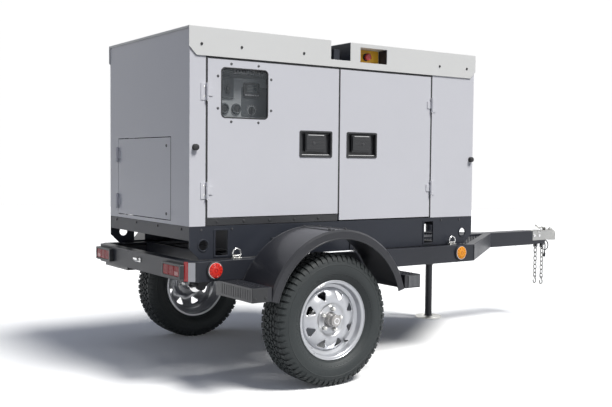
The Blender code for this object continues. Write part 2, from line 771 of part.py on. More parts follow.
def placed(made, frame):
    made.matrix_world = frame @ made.matrix_world
    return made


def jack_mount(frame):
    """Plate on the drawbar's web with the stub pipe that the jack swivels on."""
    web = -JACK_OFFSET
    made = box("jack_mount", (-0.055, web - 0.003, -0.045), (0.055, web + 0.010, 0.045), BLACK_PAINT)
    join(made, rod("stub", (0, web + 0.005, 0), (0, -JACK_TUBE_RADIUS - COLLAR_STANDOFF - 0.004, 0),
                   STUB_RADIUS, steps=16))
    return placed(made, frame)


def jack_tube(frame):
    """Outer tube with its swivel collar and the gear head that the crank drives."""
    low, high = JACK_TUBE_BOTTOM - JACK_PIVOT_Z, JACK_TUBE_TOP - JACK_PIVOT_Z
    bore = JACK_TUBE_RADIUS - JACK_TUBE_WALL
    profile = [(bore, low), (bore, high - 0.012), (0, high - 0.012), (0, high + 0.006),
               (0.022, high + 0.006), (JACK_TUBE_RADIUS, high - 0.002), (JACK_TUBE_RADIUS, low)]
    made = turned("jack_tube", profile, BLACK_PAINT, 16)
    stop = -JACK_TUBE_RADIUS - COLLAR_STANDOFF
    start = stop - COLLAR_LENGTH
    half = COLLAR_LENGTH / 2
    collar = ring("collar", 0.038, STUB_RADIUS + RUNNING, -half, half, steps=16)
    collar.matrix_world = (
        Matrix.Translation((0, (start + stop) / 2, 0)) @ Matrix.Rotation(math.pi / 2, 4, "X")
    )
    saddle = box("saddle", (-0.026, stop - 0.002, -0.050), (0.026, -JACK_TUBE_RADIUS + 0.002, 0.050))
    join(made, collar, saddle)
    head = box("head", (-0.024, 0.014, high - 0.075), (0.024, 0.052, high - 0.012))
    join(made, head)
    return placed(made, frame)


def jack_leg(frame):
    """Inner tube with a round foot plate on the ground."""
    low, high = -JACK_PIVOT_Z, JACK_LEG_TOP - JACK_PIVOT_Z
    plate_top = low + JACK_FOOT_THICKNESS
    radius = JACK_LEG_RADIUS
    bore = radius - 0.004
    profile = [(0, plate_top - 0.001), (0, low), (JACK_FOOT_RADIUS, low), (JACK_FOOT_RADIUS, plate_top),
               (radius + 0.012, plate_top), (radius, plate_top + 0.012), (radius, high), (bore, high),
               (bore, plate_top - 0.001)]
    made = turned("jack_leg", profile, BLACK_PAINT, 16)
    return placed(made, frame)


def jack_crank(frame):
    """Cranked handle on the gear head's outer side."""
    z = JACK_TUBE_TOP - JACK_PIVOT_Z - 0.044
    y = 0.052 + SEAT
    points = [(0, y, z), (0, y + 0.030, z), (-CRANK_ARM, y + 0.040, z), (-CRANK_ARM, y + 0.075, z)]
    made = tube("jack_crank", points, 0.006, BLACK_PAINT, roundness=2)
    grip = rod("grip", (-CRANK_ARM, y + 0.060, z), (-CRANK_ARM, y + 0.150, z), 0.0125, steps=12)
    join(made, grip)
    return placed(made, frame), frame @ Vector((0, y, z))


# ---------------------------------------------------------------- coupler, chains, harness


def coupler():
    """Ball coupler: a channel body with a round nose and a socket open below."""
    half = COUPLER_WIDTH / 2
    top = COUPLER_BOTTOM + COUPLER_HEIGHT
    body = box("coupler", (COUPLER_REAR_X, -half, COUPLER_BOTTOM), (SOCKET_X - 0.004, half, top), ZINC)
    nose_radius = SOCKET_RADIUS + SOCKET_WALL
    profile = [(0, COUPLER_BOTTOM - 0.004), (nose_radius, COUPLER_BOTTOM - 0.004),
               (nose_radius, top - 0.022),
               (nose_radius - 0.010, top - 0.006), (nose_radius - 0.024, top + 0.003), (0, top + 0.003)]
    nose = turned("nose", list(reversed(profile)), None, 20)
    nose.location.x = SOCKET_X
    join(body, nose)
    relief = box("relief", (COUPLER_REAR_X + 0.100, -half + 0.006, COUPLER_BOTTOM - 0.01),
                 (SOCKET_X - nose_radius - 0.006, half - 0.006, top - 0.008))
    socket = rod("socket", (SOCKET_X, 0, COUPLER_BOTTOM - 0.02),
                 (SOCKET_X, 0, COUPLER_BOTTOM - 0.004 + SOCKET_DEPTH),
                 SOCKET_RADIUS, steps=16)
    return cut(body, relief, socket)


LATCH_PIVOT_X = SOCKET_X - 0.062
LATCH_BARREL = 0.0115
LATCH_PIVOT_Z = COUPLER_BOTTOM + COUPLER_HEIGHT + LATCH_BARREL + SEAT


def coupler_latch():
    """Lever on the coupler's top that swings up to free the ball."""
    z = LATCH_PIVOT_Z
    half = 0.014
    made = rod("coupler_latch", (LATCH_PIVOT_X, -half, z), (LATCH_PIVOT_X, half, z), LATCH_BARREL, ZINC)
    points = [(LATCH_PIVOT_X, 0, z + 0.002), (LATCH_PIVOT_X - 0.030, 0, z + 0.010),
              (LATCH_PIVOT_X - 0.060, 0, z + 0.004),
              (LATCH_PIVOT_X - 0.085, 0, z + 0.014), (LATCH_PIVOT_X - 0.105, 0, z + 0.028)]
    join(made, tube("lever", points, 0.0065, roundness=1))
    return made


def link_points(centre, flat_axis, steps=4):
    """A chain link's wire line: two half circles joined by straight sides, hanging along Z."""
    straight = LINK_INNER_LENGTH / 2 + LINK_WIRE - LINK_HALF_WIDTH
    points = []
    for end in (1, -1):
        for i in range(steps):
            angle = math.pi * i / (steps - 1)
            across = end * LINK_HALF_WIDTH * math.cos(angle)
            up = end * (straight + LINK_HALF_WIDTH * math.sin(angle))
            points.append(centre + flat_axis * across + Vector((0, 0, up)))
    return points


def safety_chain(side):
    """Welded links hanging from a pin, with a hook on the last one."""
    pin_x, pin_z = chain_pin()
    first = pin_z - (LINK_INNER_LENGTH / 2 - LINK_HALF_WIDTH + LINK_WIRE) - CHAIN_SLACK
    pitch = LINK_INNER_LENGTH + 0.0016
    axes = (Vector((1, 0, 0)), Vector((0, 1, 0)))
    place = Vector((pin_x, side * CHAIN_Y, first))
    chain = None
    for i in range(CHAIN_LINKS):
        link = tube("link", link_points(place - Vector((0, 0, pitch * i)), axes[i % 2]), LINK_WIRE,
                    ZINC, roundness=1, cyclic=True)
        chain = link if chain is None else join(chain, link)
    chain.name = "safety_chain_" + side_name(side)
    low = place - Vector((0, 0, pitch * (CHAIN_LINKS - 1) + LINK_INNER_LENGTH / 2 - 0.001))
    hook = [(0, -0.002), (0.004, -0.010), (0.012, -0.024), (0.012, -0.038), (0.002, -0.048),
            (-0.011, -0.045), (-0.017, -0.033),
            (-0.014, -0.022)]
    join(chain, tube("hook", [low + Vector((x, 0, z)) for x, z in hook], 0.0045, roundness=1))
    return chain


HARNESS_RADIUS = 0.004
# the loop of lamp cable under the coupler, as offsets from where it leaves the nose box's front
HARNESS_ROUTE = [(0.000, -0.009, 0.000), (0.008, -0.009, 0.000), (0.021, -0.009, 0.000),
                 (0.038, -0.010, -0.004), (0.055, -0.011, -0.013), (0.067, -0.011, -0.029),
                 (0.071, -0.011, -0.050), (0.062, -0.010, -0.069), (0.046, -0.007, -0.078),
                 (0.029, -0.003, -0.074), (0.020, 0.001, -0.058), (0.020, 0.006, -0.038),
                 (0.029, 0.008, -0.022), (0.045, 0.009, -0.020), (0.058, 0.009, -0.033),
                 (0.061, 0.008, -0.054), (0.056, 0.006, -0.080), (0.052, 0.005, -0.100)]


def smooth_line(points, spacing):
    """Points at about this spacing along a smooth curve through the given ones."""
    padded = [points[0] * 2 - points[1], *points, points[-1] * 2 - points[-2]]
    line = [points[0]]
    for a, b, c, d in zip(padded, padded[1:], padded[2:], padded[3:]):
        count = max(1, round((c - b).length / spacing))
        for i in range(1, count + 1):
            t = i / count
            line.append(0.5 * (2 * b + (c - a) * t + (2 * a - 5 * b + 4 * c - d) * t**2
                               + (3 * b - a - 3 * c + d) * t**3))
    return line


def harness():
    """Lamp cable out of the nose box, coiled under the coupler, and the plug on its end."""
    exit_point = Vector((NOSE_FRONT_X + SEAT, 0, RAIL_BOTTOM + 0.026))
    route = [exit_point + Vector(step) for step in HARNESS_ROUTE]
    cord = tube("harness_cord", smooth_line(route, 0.018), HARNESS_RADIUS, BLACK_PLASTIC, roundness=2)
    end, before = route[-1], route[-2]
    lie = (end - before).normalized()
    plug = rod("harness_plug", end + lie * SEAT, end + lie * 0.034, 0.0095, BLACK_PLASTIC, steps=16)
    return cord, plug


# ---------------------------------------------------------------- skid


BEARER_XS = (ENCLOSURE_REAR + 0.420, ENCLOSURE_REAR + 1.290)
TANK_TOP = ENCLOSURE_BOTTOM - 0.058
BEARER_TOP = TANK_TOP + 0.050
BEARER_HALF = 0.030


def skid_side(side):
    """Side plate with clipped lower corners, tie holes and slots, and its folded flanges."""
    rear, front = ENCLOSURE_REAR, ENCLOSURE_FRONT
    cl, ch = SKID_CHAMFER_LENGTH, SKID_CHAMFER_HEIGHT
    outline = [(rear, SKID_TOP), (rear, SKID_BOTTOM + ch), (rear + cl, SKID_BOTTOM),
               (front - cl, SKID_BOTTOM),
               (front, SKID_BOTTOM + ch), (front, SKID_TOP)]
    hole_z = SKID_TOP - SKID_HOLE_BELOW_TOP
    slot_z = (SKID_BOTTOM + 0.016, SKID_TOP - 0.024)
    slot_x = (rear + SKID_SLOT_REAR, front - SKID_SLOT_FRONT - SKID_SLOT_LENGTH)
    holes = [circle((x, hole_z), SKID_HOLE_RADIUS)
             for x in (rear + SKID_HOLE_FROM_END, front - SKID_HOLE_FROM_END)]
    holes += [rectangle((x, slot_z[0]), (x + SKID_SLOT_LENGTH, slot_z[1])) for x in slot_x]
    made = plate("side", outline, SKID_WALL, None, holes)
    in_xz(made, side * (HALF_WIDTH - SKID_WALL / 2))
    for z, end in ((SKID_BOTTOM + 0.0006, cl + 0.01),
                   (SKID_TOP - SKID_WALL - 0.0006, SKID_BEAM_DEPTH + 0.005)):
        low_y, high_y = sorted((side * (HALF_WIDTH - 0.002), side * (HALF_WIDTH - SKID_FLANGE)))
        join(made, box("flange", (rear + end, low_y, z), (front - end, high_y, z + SKID_WALL)))
    return made


def skid_base():
    """Welded base of the generating set: two sides, end beams and two engine bearers."""
    made = skid_side(RIGHT)
    other = skid_side(LEFT)
    inner = HALF_WIDTH - SKID_WALL + 0.002
    for x in (ENCLOSURE_REAR + 0.001, ENCLOSURE_FRONT - SKID_BEAM_DEPTH - 0.001):
        low = (x, -inner, SKID_TOP - SKID_BEAM_HEIGHT)
        beam = box("beam", low, (x + SKID_BEAM_DEPTH, inner, SKID_TOP - 0.0012))
        hollow = box("hollow", (low[0] + SKID_WALL, low[1] - 0.01, low[2] - 0.01),
                     (x + SKID_BEAM_DEPTH - SKID_WALL, inner + 0.01, SKID_TOP - SKID_WALL - 0.0012))
        join(made, cut(beam, hollow))
    join(made, other)
    for x in BEARER_XS:
        low = (x - BEARER_HALF, -inner, SKID_BOTTOM + 0.008)
        join(made, tray("bearer", low, (x + BEARER_HALF, inner, BEARER_TOP), ["-z"], SKID_WALL))
    made.name = "skid_base"
    made.data.materials.clear()
    made.data.materials.append(BLACK_PAINT)
    return made


# ---------------------------------------------------------------- fuel tank

FILLER_X, FILLER_Y = ENCLOSURE_REAR + 0.590, 0.380
NECK_RADIUS = 0.030
CAP_STEPS = 16                   # facets of the cap, which turns clear of the neck
NECK_TOP = ENCLOSURE_BOTTOM + 0.130


def fuel_tank():
    """Low tank between the bearers with a filler neck that stands up inside the canopy."""
    half = HALF_WIDTH - SKID_FLANGE - 0.010
    reach = BEARER_HALF + SEAT
    low = (BEARER_XS[0] + reach, -half, SKID_BOTTOM + 0.001)
    made = box("fuel_tank", low, (BEARER_XS[1] - reach, half, TANK_TOP), BLACK_PLASTIC)
    join(made,
         rod("neck", (FILLER_X, FILLER_Y, TANK_TOP - 0.01), (FILLER_X, FILLER_Y, NECK_TOP), NECK_RADIUS))
    bore = rod("bore", (FILLER_X, FILLER_Y, TANK_TOP - 0.06), (FILLER_X, FILLER_Y, NECK_TOP + 0.01),
               NECK_RADIUS - 0.005)
    return cut(made, bore)


def fuel_cap():
    """Cap over the filler neck, with finger flats."""
    top = NECK_TOP + 0.022
    radius = NECK_RADIUS + 0.008
    inner = (NECK_RADIUS + RUNNING) / math.cos(math.pi / CAP_STEPS)
    profile = [(0, NECK_TOP + SEAT), (inner, NECK_TOP + SEAT), (inner, NECK_TOP - 0.016),
               (radius, NECK_TOP - 0.016),
               (radius, top - 0.003), (radius - 0.003, top), (0, top)]
    made = turned("fuel_cap", profile, BLACK_PLASTIC, CAP_STEPS)
    made.matrix_world = Matrix.Translation((FILLER_X, FILLER_Y, 0))
    join(made, box("grip", (FILLER_X - 0.028, FILLER_Y - 0.006, top - 0.002),
                   (FILLER_X + 0.028, FILLER_Y + 0.006, top + 0.012)))
    return made


# ---------------------------------------------------------------- hinges


def hinge_frame(x, y, z, away, out):
    """Frame on a hinge's pin: local X points from the fixed leaf to the door, local Y outward."""
    door, outward = Vector(away), Vector(out)
    return Matrix((
        (door.x, outward.x, 0, x),
        (door.y, outward.y, 0, y),
        (0, 0, 1, z),
        (0, 0, 0, 1),
    ))


def framed(made, frame):
    """Puts a shape made about the origin into a frame, turning its faces if the frame mirrors."""
    made.data.transform(frame @ made.matrix_world)
    made.matrix_world = Matrix.Identity(4)
    if frame.determinant() < 0:
        made.data.flip_normals()
    return made


def add_door_leaf(door, frame):
    """Knuckle and leaf on the door's side of a hinge."""
    half = KNUCKLE_LENGTH / 2 - 0.0004
    knuckle = ring("knuckle", KNUCKLE_RADIUS, HINGE_PIN_RADIUS + HINGE_CLEARANCE, -half, half)
    leaf = box("leaf", (0, -HINGE_OUT - 0.001, -half + 0.0003),
               (LEAF_LENGTH, -HINGE_OUT + LEAF_THICKNESS + 0.001, half - 0.0003))
    join(door, framed(knuckle, frame), framed(leaf, frame))


def add_fixed_leaf(shell, frame):
    """Pin, its two lugs and the leaf on the shell's side of a hinge."""
    half = KNUCKLE_LENGTH / 2
    end = half + 0.021
    surface = -HINGE_OUT
    join(shell, framed(box("leaf", (-LEAF_LENGTH, surface - 0.001, -end),
                           (-0.0088, surface + LEAF_THICKNESS, end)), frame))
    for sign in (-1, 1):
        low, high = sorted((sign * (half + 0.0004), sign * end))
        foot = box("foot", (-0.0095, surface - 0.001, low + 0.0003),
                   (0.001, surface + 0.0055, high - 0.0003))
        lug = rod("lug", (0, 0, low), (0, 0, high), KNUCKLE_RADIUS, steps=8)
        join(shell, framed(foot, frame), framed(lug, frame))
    join(shell,
         framed(rod("pin", (0, 0, -end + 0.001), (0, 0, end - 0.001), HINGE_PIN_RADIUS, steps=8), frame))


def side_hinge_frames(side, end):
    """Hinge frames of a side door. The rear doors hang on the rear shell, the front ones on the front."""
    if end == "rear":
        x, away = ENCLOSURE_REAR + REAR_POST_WIDTH + DOOR_GAP / 2, (1, 0, 0)
    else:
        x, away = ENCLOSURE_FRONT - FRONT_POST_WIDTH - DOOR_GAP / 2, (-1, 0, 0)
    y = side * (HALF_WIDTH + HINGE_OUT)
    return [hinge_frame(x, y, z, away, (0, side, 0)) for z in SIDE_HINGES]


def access_hinge_frames():
    x, y = ENCLOSURE_REAR - HINGE_OUT, ACCESS_LEFT - ACCESS_GAP / 2
    return [hinge_frame(x, y, z, (0, -1, 0), (-1, 0, 0)) for z in REAR_HINGES]


# ---------------------------------------------------------------- canopy

SHELL_TOP = ROOF_TOP - SHEET - SEAT


def rear_shell():
    """Rear panel with its two side returns, the service opening and the fixed hinge halves."""
    low = (ENCLOSURE_REAR, -HALF_WIDTH, ENCLOSURE_BOTTOM)
    high = (ENCLOSURE_REAR + REAR_POST_WIDTH, HALF_WIDTH, SHELL_TOP)
    made = tray("rear_shell", low, high, ["+x", "+z", "-z"], SHEET, LIGHT_GREY)
    cut(made, box("opening", (ENCLOSURE_REAR - 0.01, ACCESS_RIGHT, ACCESS_BOTTOM),
                  (ENCLOSURE_REAR + 0.02, ACCESS_LEFT, ACCESS_TOP)))
    for side in (LEFT, RIGHT):
        for frame in side_hinge_frames(side, "rear"):
            add_fixed_leaf(made, frame)
    for frame in access_hinge_frames():
        add_fixed_leaf(made, frame)
    return made


def front_shell():
    """Front panel with its two wide side panels and the fixed hinge halves."""
    low = (ENCLOSURE_FRONT - FRONT_POST_WIDTH, -HALF_WIDTH, ENCLOSURE_BOTTOM)
    made = tray("front_shell", low, (ENCLOSURE_FRONT, HALF_WIDTH, SHELL_TOP), ["-x", "+z", "-z"], SHEET,
                LIGHT_GREY)
    for side in (LEFT, RIGHT):
        for frame in side_hinge_frames(side, "front"):
            add_fixed_leaf(made, frame)
    return made


def roof():
    """Roof sheet with deep side flanges, the cross trough and the emergency stop's pocket."""
    side_y = HALF_WIDTH + FLANGE_PROUD
    low = Vector((ENCLOSURE_REAR - FLANGE_PROUD, -side_y, FLANGE_BOTTOM))
    high = Vector((ENCLOSURE_FRONT + FLANGE_PROUD, side_y, ROOF_TOP))
    made = tray("roof", low, high, ["-z"], SHEET, LIGHT_GREY)
    for x in (low.x, high.x):
        cut(made, box("end", (x - 0.02, -side_y + SHEET + 0.001, FLANGE_BOTTOM - 0.01),
                      (x + 0.02, side_y - SHEET - 0.001, ROOF_TOP - ROOF_END_LIP)))
    for x, sign in ((low.x, 1), (high.x, -1)):
        size = FLANGE_CHAMFER
        corner = [(x - sign * 0.01, FLANGE_BOTTOM - 0.01), (x + sign * size, FLANGE_BOTTOM - 0.01),
                  (x + sign * size, FLANGE_BOTTOM),
                  (x, FLANGE_BOTTOM + size), (x - sign * 0.01, FLANGE_BOTTOM + size)]
        cut(made, in_xz(plate("corner", corner, ENCLOSURE_WIDTH + 0.1), 0))
    half = TROUGH_WIDTH / 2
    cut(made, box("slot", (SPLIT_X - half, -side_y - 0.01, TROUGH_FLOOR),
                  (SPLIT_X + half, side_y + 0.01, ROOF_TOP + 0.01)))
    trough = tray("trough", (SPLIT_X - half - SHEET, -side_y + 0.001, TROUGH_FLOOR - SHEET),
                  (SPLIT_X + half + SHEET, side_y - 0.001, ROOF_TOP - 0.001), ["+z", "-y", "+y"], SHEET)
    join(made, trough)
    for side in (LEFT, RIGHT):
        low_y, high_y = post_span(side)
        cut(made, box("post_hole", (SPLIT_X - POST_HALF - 0.002, low_y - 0.002, TROUGH_FLOOR - 0.01),
                      (SPLIT_X + POST_HALF + 0.002, high_y + 0.002, TROUGH_FLOOR + 0.01)))
    x0, z0, z1 = pocket_span()
    x1 = x0 + POCKET_LENGTH
    cut(made, box("pocket_cut", (x0, -side_y - 0.01, z0), (x1, -side_y + 0.02, z1)))
    pocket = tray("pocket", (x0 - SHEET, -side_y + 0.001, z0 - SHEET),
                  (x1 + SHEET, -side_y + POCKET_DEPTH, z1 + SHEET), ["-y"], SHEET)
    join(made, pocket)
    x, z = stop_place()
    y = -side_y + POCKET_DEPTH
    return cut(made, rod("stem_hole", (x, y - 0.02, z), (x, y + 0.02, z), 0.0120, steps=16))


def pocket_span():
    """(rear x, bottom z, top z) of the emergency stop's pocket."""
    top = ROOF_TOP - POCKET_TOP_DROP
    return ENCLOSURE_REAR + POCKET_START, top - POCKET_HEIGHT, top


def stop_place():
    x0, z0, z1 = pocket_span()
    return x0 + POCKET_LENGTH * 0.5, (z0 + z1) / 2


def stop_button():
    """Mushroom button on a stem through the back of its pocket."""
    x, z = stop_place()
    back = -(HALF_WIDTH + FLANGE_PROUD) + POCKET_DEPTH - SHEET
    room = STOP_TRAVEL_ROOM
    profile = [(0, -0.030), (0.0110, -0.030), (0.0110, room), (0.016, room + 0.001),
               (STOP_HEAD_RADIUS, room + 0.008),
               (STOP_HEAD_RADIUS, room + 0.014), (0.016, room + 0.020), (0.008, room + 0.022),
               (0, room + 0.0225)]
    made = turned("stop_button", profile, STOP_RED, 16)
    made.matrix_world = Matrix.Translation((x, back, z)) @ Matrix.Rotation(math.pi / 2, 4, "X")
    return made


POST_HALF = 0.020


def post_span(side):
    return sorted((side * (HALF_WIDTH - DOOR_DEPTH - 0.005), side * (HALF_WIDTH - DOOR_DEPTH - 0.040)))


def lifting_frame():
    """Two posts from the skid's flanges, joined in the roof's trough by a bar with a lifting eye."""
    top = ROOF_TOP - 0.040
    reach = post_span(LEFT)[1] - 0.001
    low, high = (SPLIT_X - POST_HALF + 0.002, -reach, top - 0.036), (SPLIT_X + POST_HALF - 0.002, reach,
                                                                     top - 0.001)
    made = box("lifting_frame", low, high, BLACK_PAINT)
    for side in (LEFT, RIGHT):
        low_y, high_y = post_span(side)
        join(made, box("post", (SPLIT_X - POST_HALF, low_y, ENCLOSURE_BOTTOM),
                       (SPLIT_X + POST_HALF, high_y, top)))
    eye = plate("eye", circle((0, 0), 0.036, 20), 0.014, None, [circle((0, 0), 0.0185, 16)])
    join(made, placed(in_yz(eye, 0), Matrix.Translation((SPLIT_X, 0, top + 0.002))))
    return made


def latch_middle(end):
    return SPLIT_X + (-LATCH_FROM_SPLIT if end == "rear" else LATCH_FROM_SPLIT)


def side_door(side, end):
    """Folded side door with its latch cup, its knuckles and, at the right rear, a window opening."""
    if end == "rear":
        x0, x1 = ENCLOSURE_REAR + REAR_POST_WIDTH + DOOR_GAP, SPLIT_X - DOOR_SPLIT_GAP / 2
        foot = DOOR_FOOT_REAR
    else:
        x0, x1 = SPLIT_X + DOOR_SPLIT_GAP / 2, ENCLOSURE_FRONT - FRONT_POST_WIDTH - DOOR_GAP
        foot = DOOR_FOOT_FRONT
    outside = side * HALF_WIDTH
    low_y, high_y = sorted((outside, side * (HALF_WIDTH - DOOR_DEPTH)))
    inward = "-y" if side == LEFT else "+y"
    outward = "+y" if side == LEFT else "-y"
    low, high = (x0, low_y, ENCLOSURE_BOTTOM + foot), (x1, high_y, FLANGE_BOTTOM - DOOR_HEAD_GAP)
    made = tray(f"side_door_{side_name(side)}_{end}", low, high, [inward], SHEET, LIGHT_GREY)
    x, half_l, half_h = latch_middle(end), LATCH_LENGTH / 2, LATCH_HEIGHT / 2
    z = LATCH_MIDDLE
    cut(made, box("latch_cut", (x - half_l + LATCH_WALL, outside - 0.01, z - half_h + LATCH_WALL),
                  (x + half_l - LATCH_WALL, outside + 0.01, z + half_h - LATCH_WALL)))
    low_y, high_y = sorted((outside - side * 0.0006, side * (HALF_WIDTH - LATCH_CUP_DEPTH)))
    join(made, tray("cup", (x - half_l, low_y, z - half_h), (x + half_l, high_y, z + half_h), [outward],
                    LATCH_WALL))
    if (side, end) == (RIGHT, "rear"):
        x = ENCLOSURE_REAR + WINDOW_START
        outline = rounded(x, WINDOW_BOTTOM, x + WINDOW_LENGTH, WINDOW_BOTTOM + WINDOW_HEIGHT, 0.022)
        cut(made, in_xz(plate("window_cut", outline, 0.02), outside))
    for frame in side_hinge_frames(side, end):
        add_door_leaf(made, frame)
    return made


def rounded(x0, y0, x1, y1, radius, steps=4):
    """A rectangle's outline with round corners."""
    centres = ((x1 - radius, y1 - radius, 0), (x0 + radius, y1 - radius, 90),
               (x0 + radius, y0 + radius, 180), (x1 - radius, y0 + radius, 270))
    outline = []
    for x, y, start in centres:
        for i in range(steps + 1):
            angle = math.radians(start + 90 * i / steps)
            outline.append((x + radius * math.cos(angle), y + radius * math.sin(angle)))
    return outline


def window_pane():
    """Pane behind the window opening."""
    x = ENCLOSURE_REAR + WINDOW_START
    y = -HALF_WIDTH + SHEET + SEAT
    return box("window_pane", (x - WINDOW_LAP, y, WINDOW_BOTTOM - WINDOW_LAP),
               (x + WINDOW_LENGTH + WINDOW_LAP, y + PANE, WINDOW_BOTTOM + WINDOW_HEIGHT + WINDOW_LAP),
               CLEAR_PANE)


def latch_pivot(side, end):
    """A paddle's hinge line: along X, inside the top of its cup."""
    z = LATCH_MIDDLE + LATCH_HEIGHT / 2 - LATCH_WALL - PADDLE_CLEARANCE - 0.005
    return Vector((latch_middle(end), side * (HALF_WIDTH - 0.011), z))


def latch_paddle(side, end):
    """Paddle with a barrel along its top edge and a lifting lip along its bottom one."""
    pivot = latch_pivot(side, end)
    half = PADDLE_LENGTH / 2
    name = f"latch_paddle_{side_name(side)}_{end}"
    made = rod(name, pivot - Vector((half, 0, 0)), pivot + Vector((half, 0, 0)), 0.0045, BLACK_PLASTIC, 12)
    bottom = LATCH_MIDDLE - LATCH_HEIGHT / 2 + 0.034
    low_y, high_y = sorted((pivot.y, pivot.y + side * PADDLE_THICKNESS))
    flap = box("flap", (pivot.x - half + 0.001, low_y, bottom),
               (pivot.x + half - 0.001, high_y, pivot.z + 0.001))
    low_y, high_y = sorted((pivot.y - side * 0.002, pivot.y + side * 0.010))
    lip = box("lip", (pivot.x - half, low_y, bottom - 0.006), (pivot.x + half, high_y, bottom + 0.001))
    reach = Vector((LATCH_LENGTH / 2 - LATCH_WALL - SEAT, 0, 0))
    return join(made, flap, lip, rod("pin", pivot - reach, pivot + reach, 0.003, steps=8))


def access_door():
    """Service door in the rear panel."""
    gap = ACCESS_GAP
    low = (ENCLOSURE_REAR, ACCESS_RIGHT + gap, ACCESS_BOTTOM + gap)
    high = (ENCLOSURE_REAR + 0.018, ACCESS_LEFT - gap, ACCESS_TOP - gap)
    made = tray("access_door", low, high, ["+x"], SHEET, LIGHT_GREY)
    for frame in access_hinge_frames():
        add_door_leaf(made, frame)
    return made


# ---------------------------------------------------------------- power unit


def generator_housing():
    """Alternator barrel on a foot, open along its shaft."""
    x0, x1 = ENCLOSURE_REAR + 0.340, ENCLOSURE_REAR + 0.880
    bore = SHAFT_RADIUS + SHAFT_CLEARANCE
    profile = [(bore, 0), (0.185, 0), (0.200, 0.025), (0.200, x1 - x0), (0.172, x1 - x0), (0.172, 0.060),
               (bore, 0.060)]
    made = turned("generator_housing", profile, ENGINE_GREY, 24)
    made.matrix_world = Matrix.Translation((x0, 0, SHAFT_Z)) @ Matrix.Rotation(math.pi / 2, 4, "Y")
    x = BEARER_XS[0]
    join(made, box("foot", (x - 0.028, -0.150, BEARER_TOP + SEAT), (x + 0.028, 0.150, SHAFT_Z - 0.180)))
    return join(made, box("terminals", (x0 + 0.060, -0.130, SHAFT_Z + 0.160),
                          (x0 + 0.300, 0.130, SHAFT_Z + 0.255)))


def generator_rotor():
    """Rotor drum on the shaft that runs on through the engine as its crank."""
    x0 = ENCLOSURE_REAR + 0.330
    profile = [(0, 0), (SHAFT_RADIUS, 0), (SHAFT_RADIUS, 0.120), (0.150, 0.120), (0.150, 0.420),
               (SHAFT_RADIUS, 0.420),
               (SHAFT_RADIUS, SHAFT_LENGTH), (0, SHAFT_LENGTH)]
    made = turned("generator_rotor", profile, STEEL, 16)
    made.matrix_world = Matrix.Translation((x0, 0, SHAFT_Z)) @ Matrix.Rotation(math.pi / 2, 4, "Y")
    return made


SHAFT_LENGTH = 1.150
ENGINE_REAR = ENCLOSURE_REAR + 0.881
ENGINE_FRONT = ENCLOSURE_REAR + 1.420


def engine_block():
    """Engine: bell housing, crankcase, head, covers, manifolds, feet and the fan's bearing boss."""
    made = box("engine_block", (ENGINE_REAR + 0.030, -0.150, 0.960), (ENGINE_FRONT, 0.150, 1.280),
               ENGINE_GREY)
    join(made, rod("bell", (ENGINE_REAR, 0, SHAFT_Z), (ENGINE_REAR + 0.060, 0, SHAFT_Z), 0.200, steps=24))
    join(made, box("head", (ENGINE_REAR + 0.050, -0.120, 1.270), (ENGINE_FRONT - 0.020, 0.120, 1.370)))
    join(made,
         box("rocker_cover", (ENGINE_REAR + 0.070, -0.085, 1.360), (ENGINE_FRONT - 0.040, 0.085, 1.425)))
    join(made, box("sump", (ENGINE_REAR + 0.090, -0.125, 0.868), (ENGINE_FRONT - 0.030, 0.125, 0.970)))
    join(made, box("inlet", (ENGINE_REAR + 0.090, -0.190, 1.290), (ENGINE_FRONT - 0.060, -0.110, 1.350)))
    join(made, box("pump", (ENGINE_REAR + 0.200, -0.215, 1.060), (ENGINE_REAR + 0.330, -0.140, 1.180)))
    x = BEARER_XS[1]
    for side in (LEFT, RIGHT):
        low_y, high_y = sorted((side * 0.100, side * 0.200))
        join(made, box("foot", (x - 0.028, low_y, BEARER_TOP + SEAT), (x + 0.028, high_y, 1.000)))
    join(made, rod("fan_boss", (ENGINE_FRONT - 0.010, 0, FAN_Z), (ENGINE_FRONT + 0.060, 0, FAN_Z), 0.040,
                   steps=20))
    cut(made, rod("fan_bore", (ENGINE_FRONT + 0.020, 0, FAN_Z), (ENGINE_FRONT + 0.080, 0, FAN_Z), 0.0138,
                  steps=10))
    return cut(made, rod("crank_bore", (ENGINE_REAR - 0.01, 0, SHAFT_Z), (ENGINE_FRONT + 0.01, 0, SHAFT_Z),
                         SHAFT_RADIUS + SHAFT_CLEARANCE, steps=16))


FAN_Z = SHAFT_Z + 0.160


def crank_pulley():
    """Grooved pulley on the crank's front end."""
    start = ENGINE_FRONT + 0.012
    bore = SHAFT_RADIUS + SEAT + 0.0003
    profile = [(bore, 0), (0.062, 0), (0.062, 0.006), (0.050, 0.014), (0.062, 0.022), (0.062, 0.028),
               (bore, 0.028)]
    made = turned("crank_pulley", profile, STEEL, 16)
    made.matrix_world = Matrix.Translation((start, 0, SHAFT_Z)) @ Matrix.Rotation(math.pi / 2, 4, "Y")
    return made


def cooling_fan():
    """Bladed fan with its pulley and a stub shaft in the engine's boss."""
    x = ENGINE_FRONT + 0.061
    made = rod("cooling_fan", (x, 0, FAN_Z), (x + 0.050, 0, FAN_Z), 0.045, BLACK_PLASTIC, 14)
    join(made, rod("stub", (x - 0.035, 0, FAN_Z), (x + 0.01, 0, FAN_Z), 0.013, steps=10))
    for i in range(6):
        blade = box("blade", (-0.003, -0.034, 0.030), (0.003, 0.034, 0.190))
        pitch = Matrix.Rotation(math.radians(35), 4, "Z")
        turn = Matrix.Rotation(2 * math.pi * i / 6 + 0.2, 4, "X") @ pitch
        join(made, framed(blade, Matrix.Translation((x + 0.030, 0, FAN_Z)) @ turn))
    return made


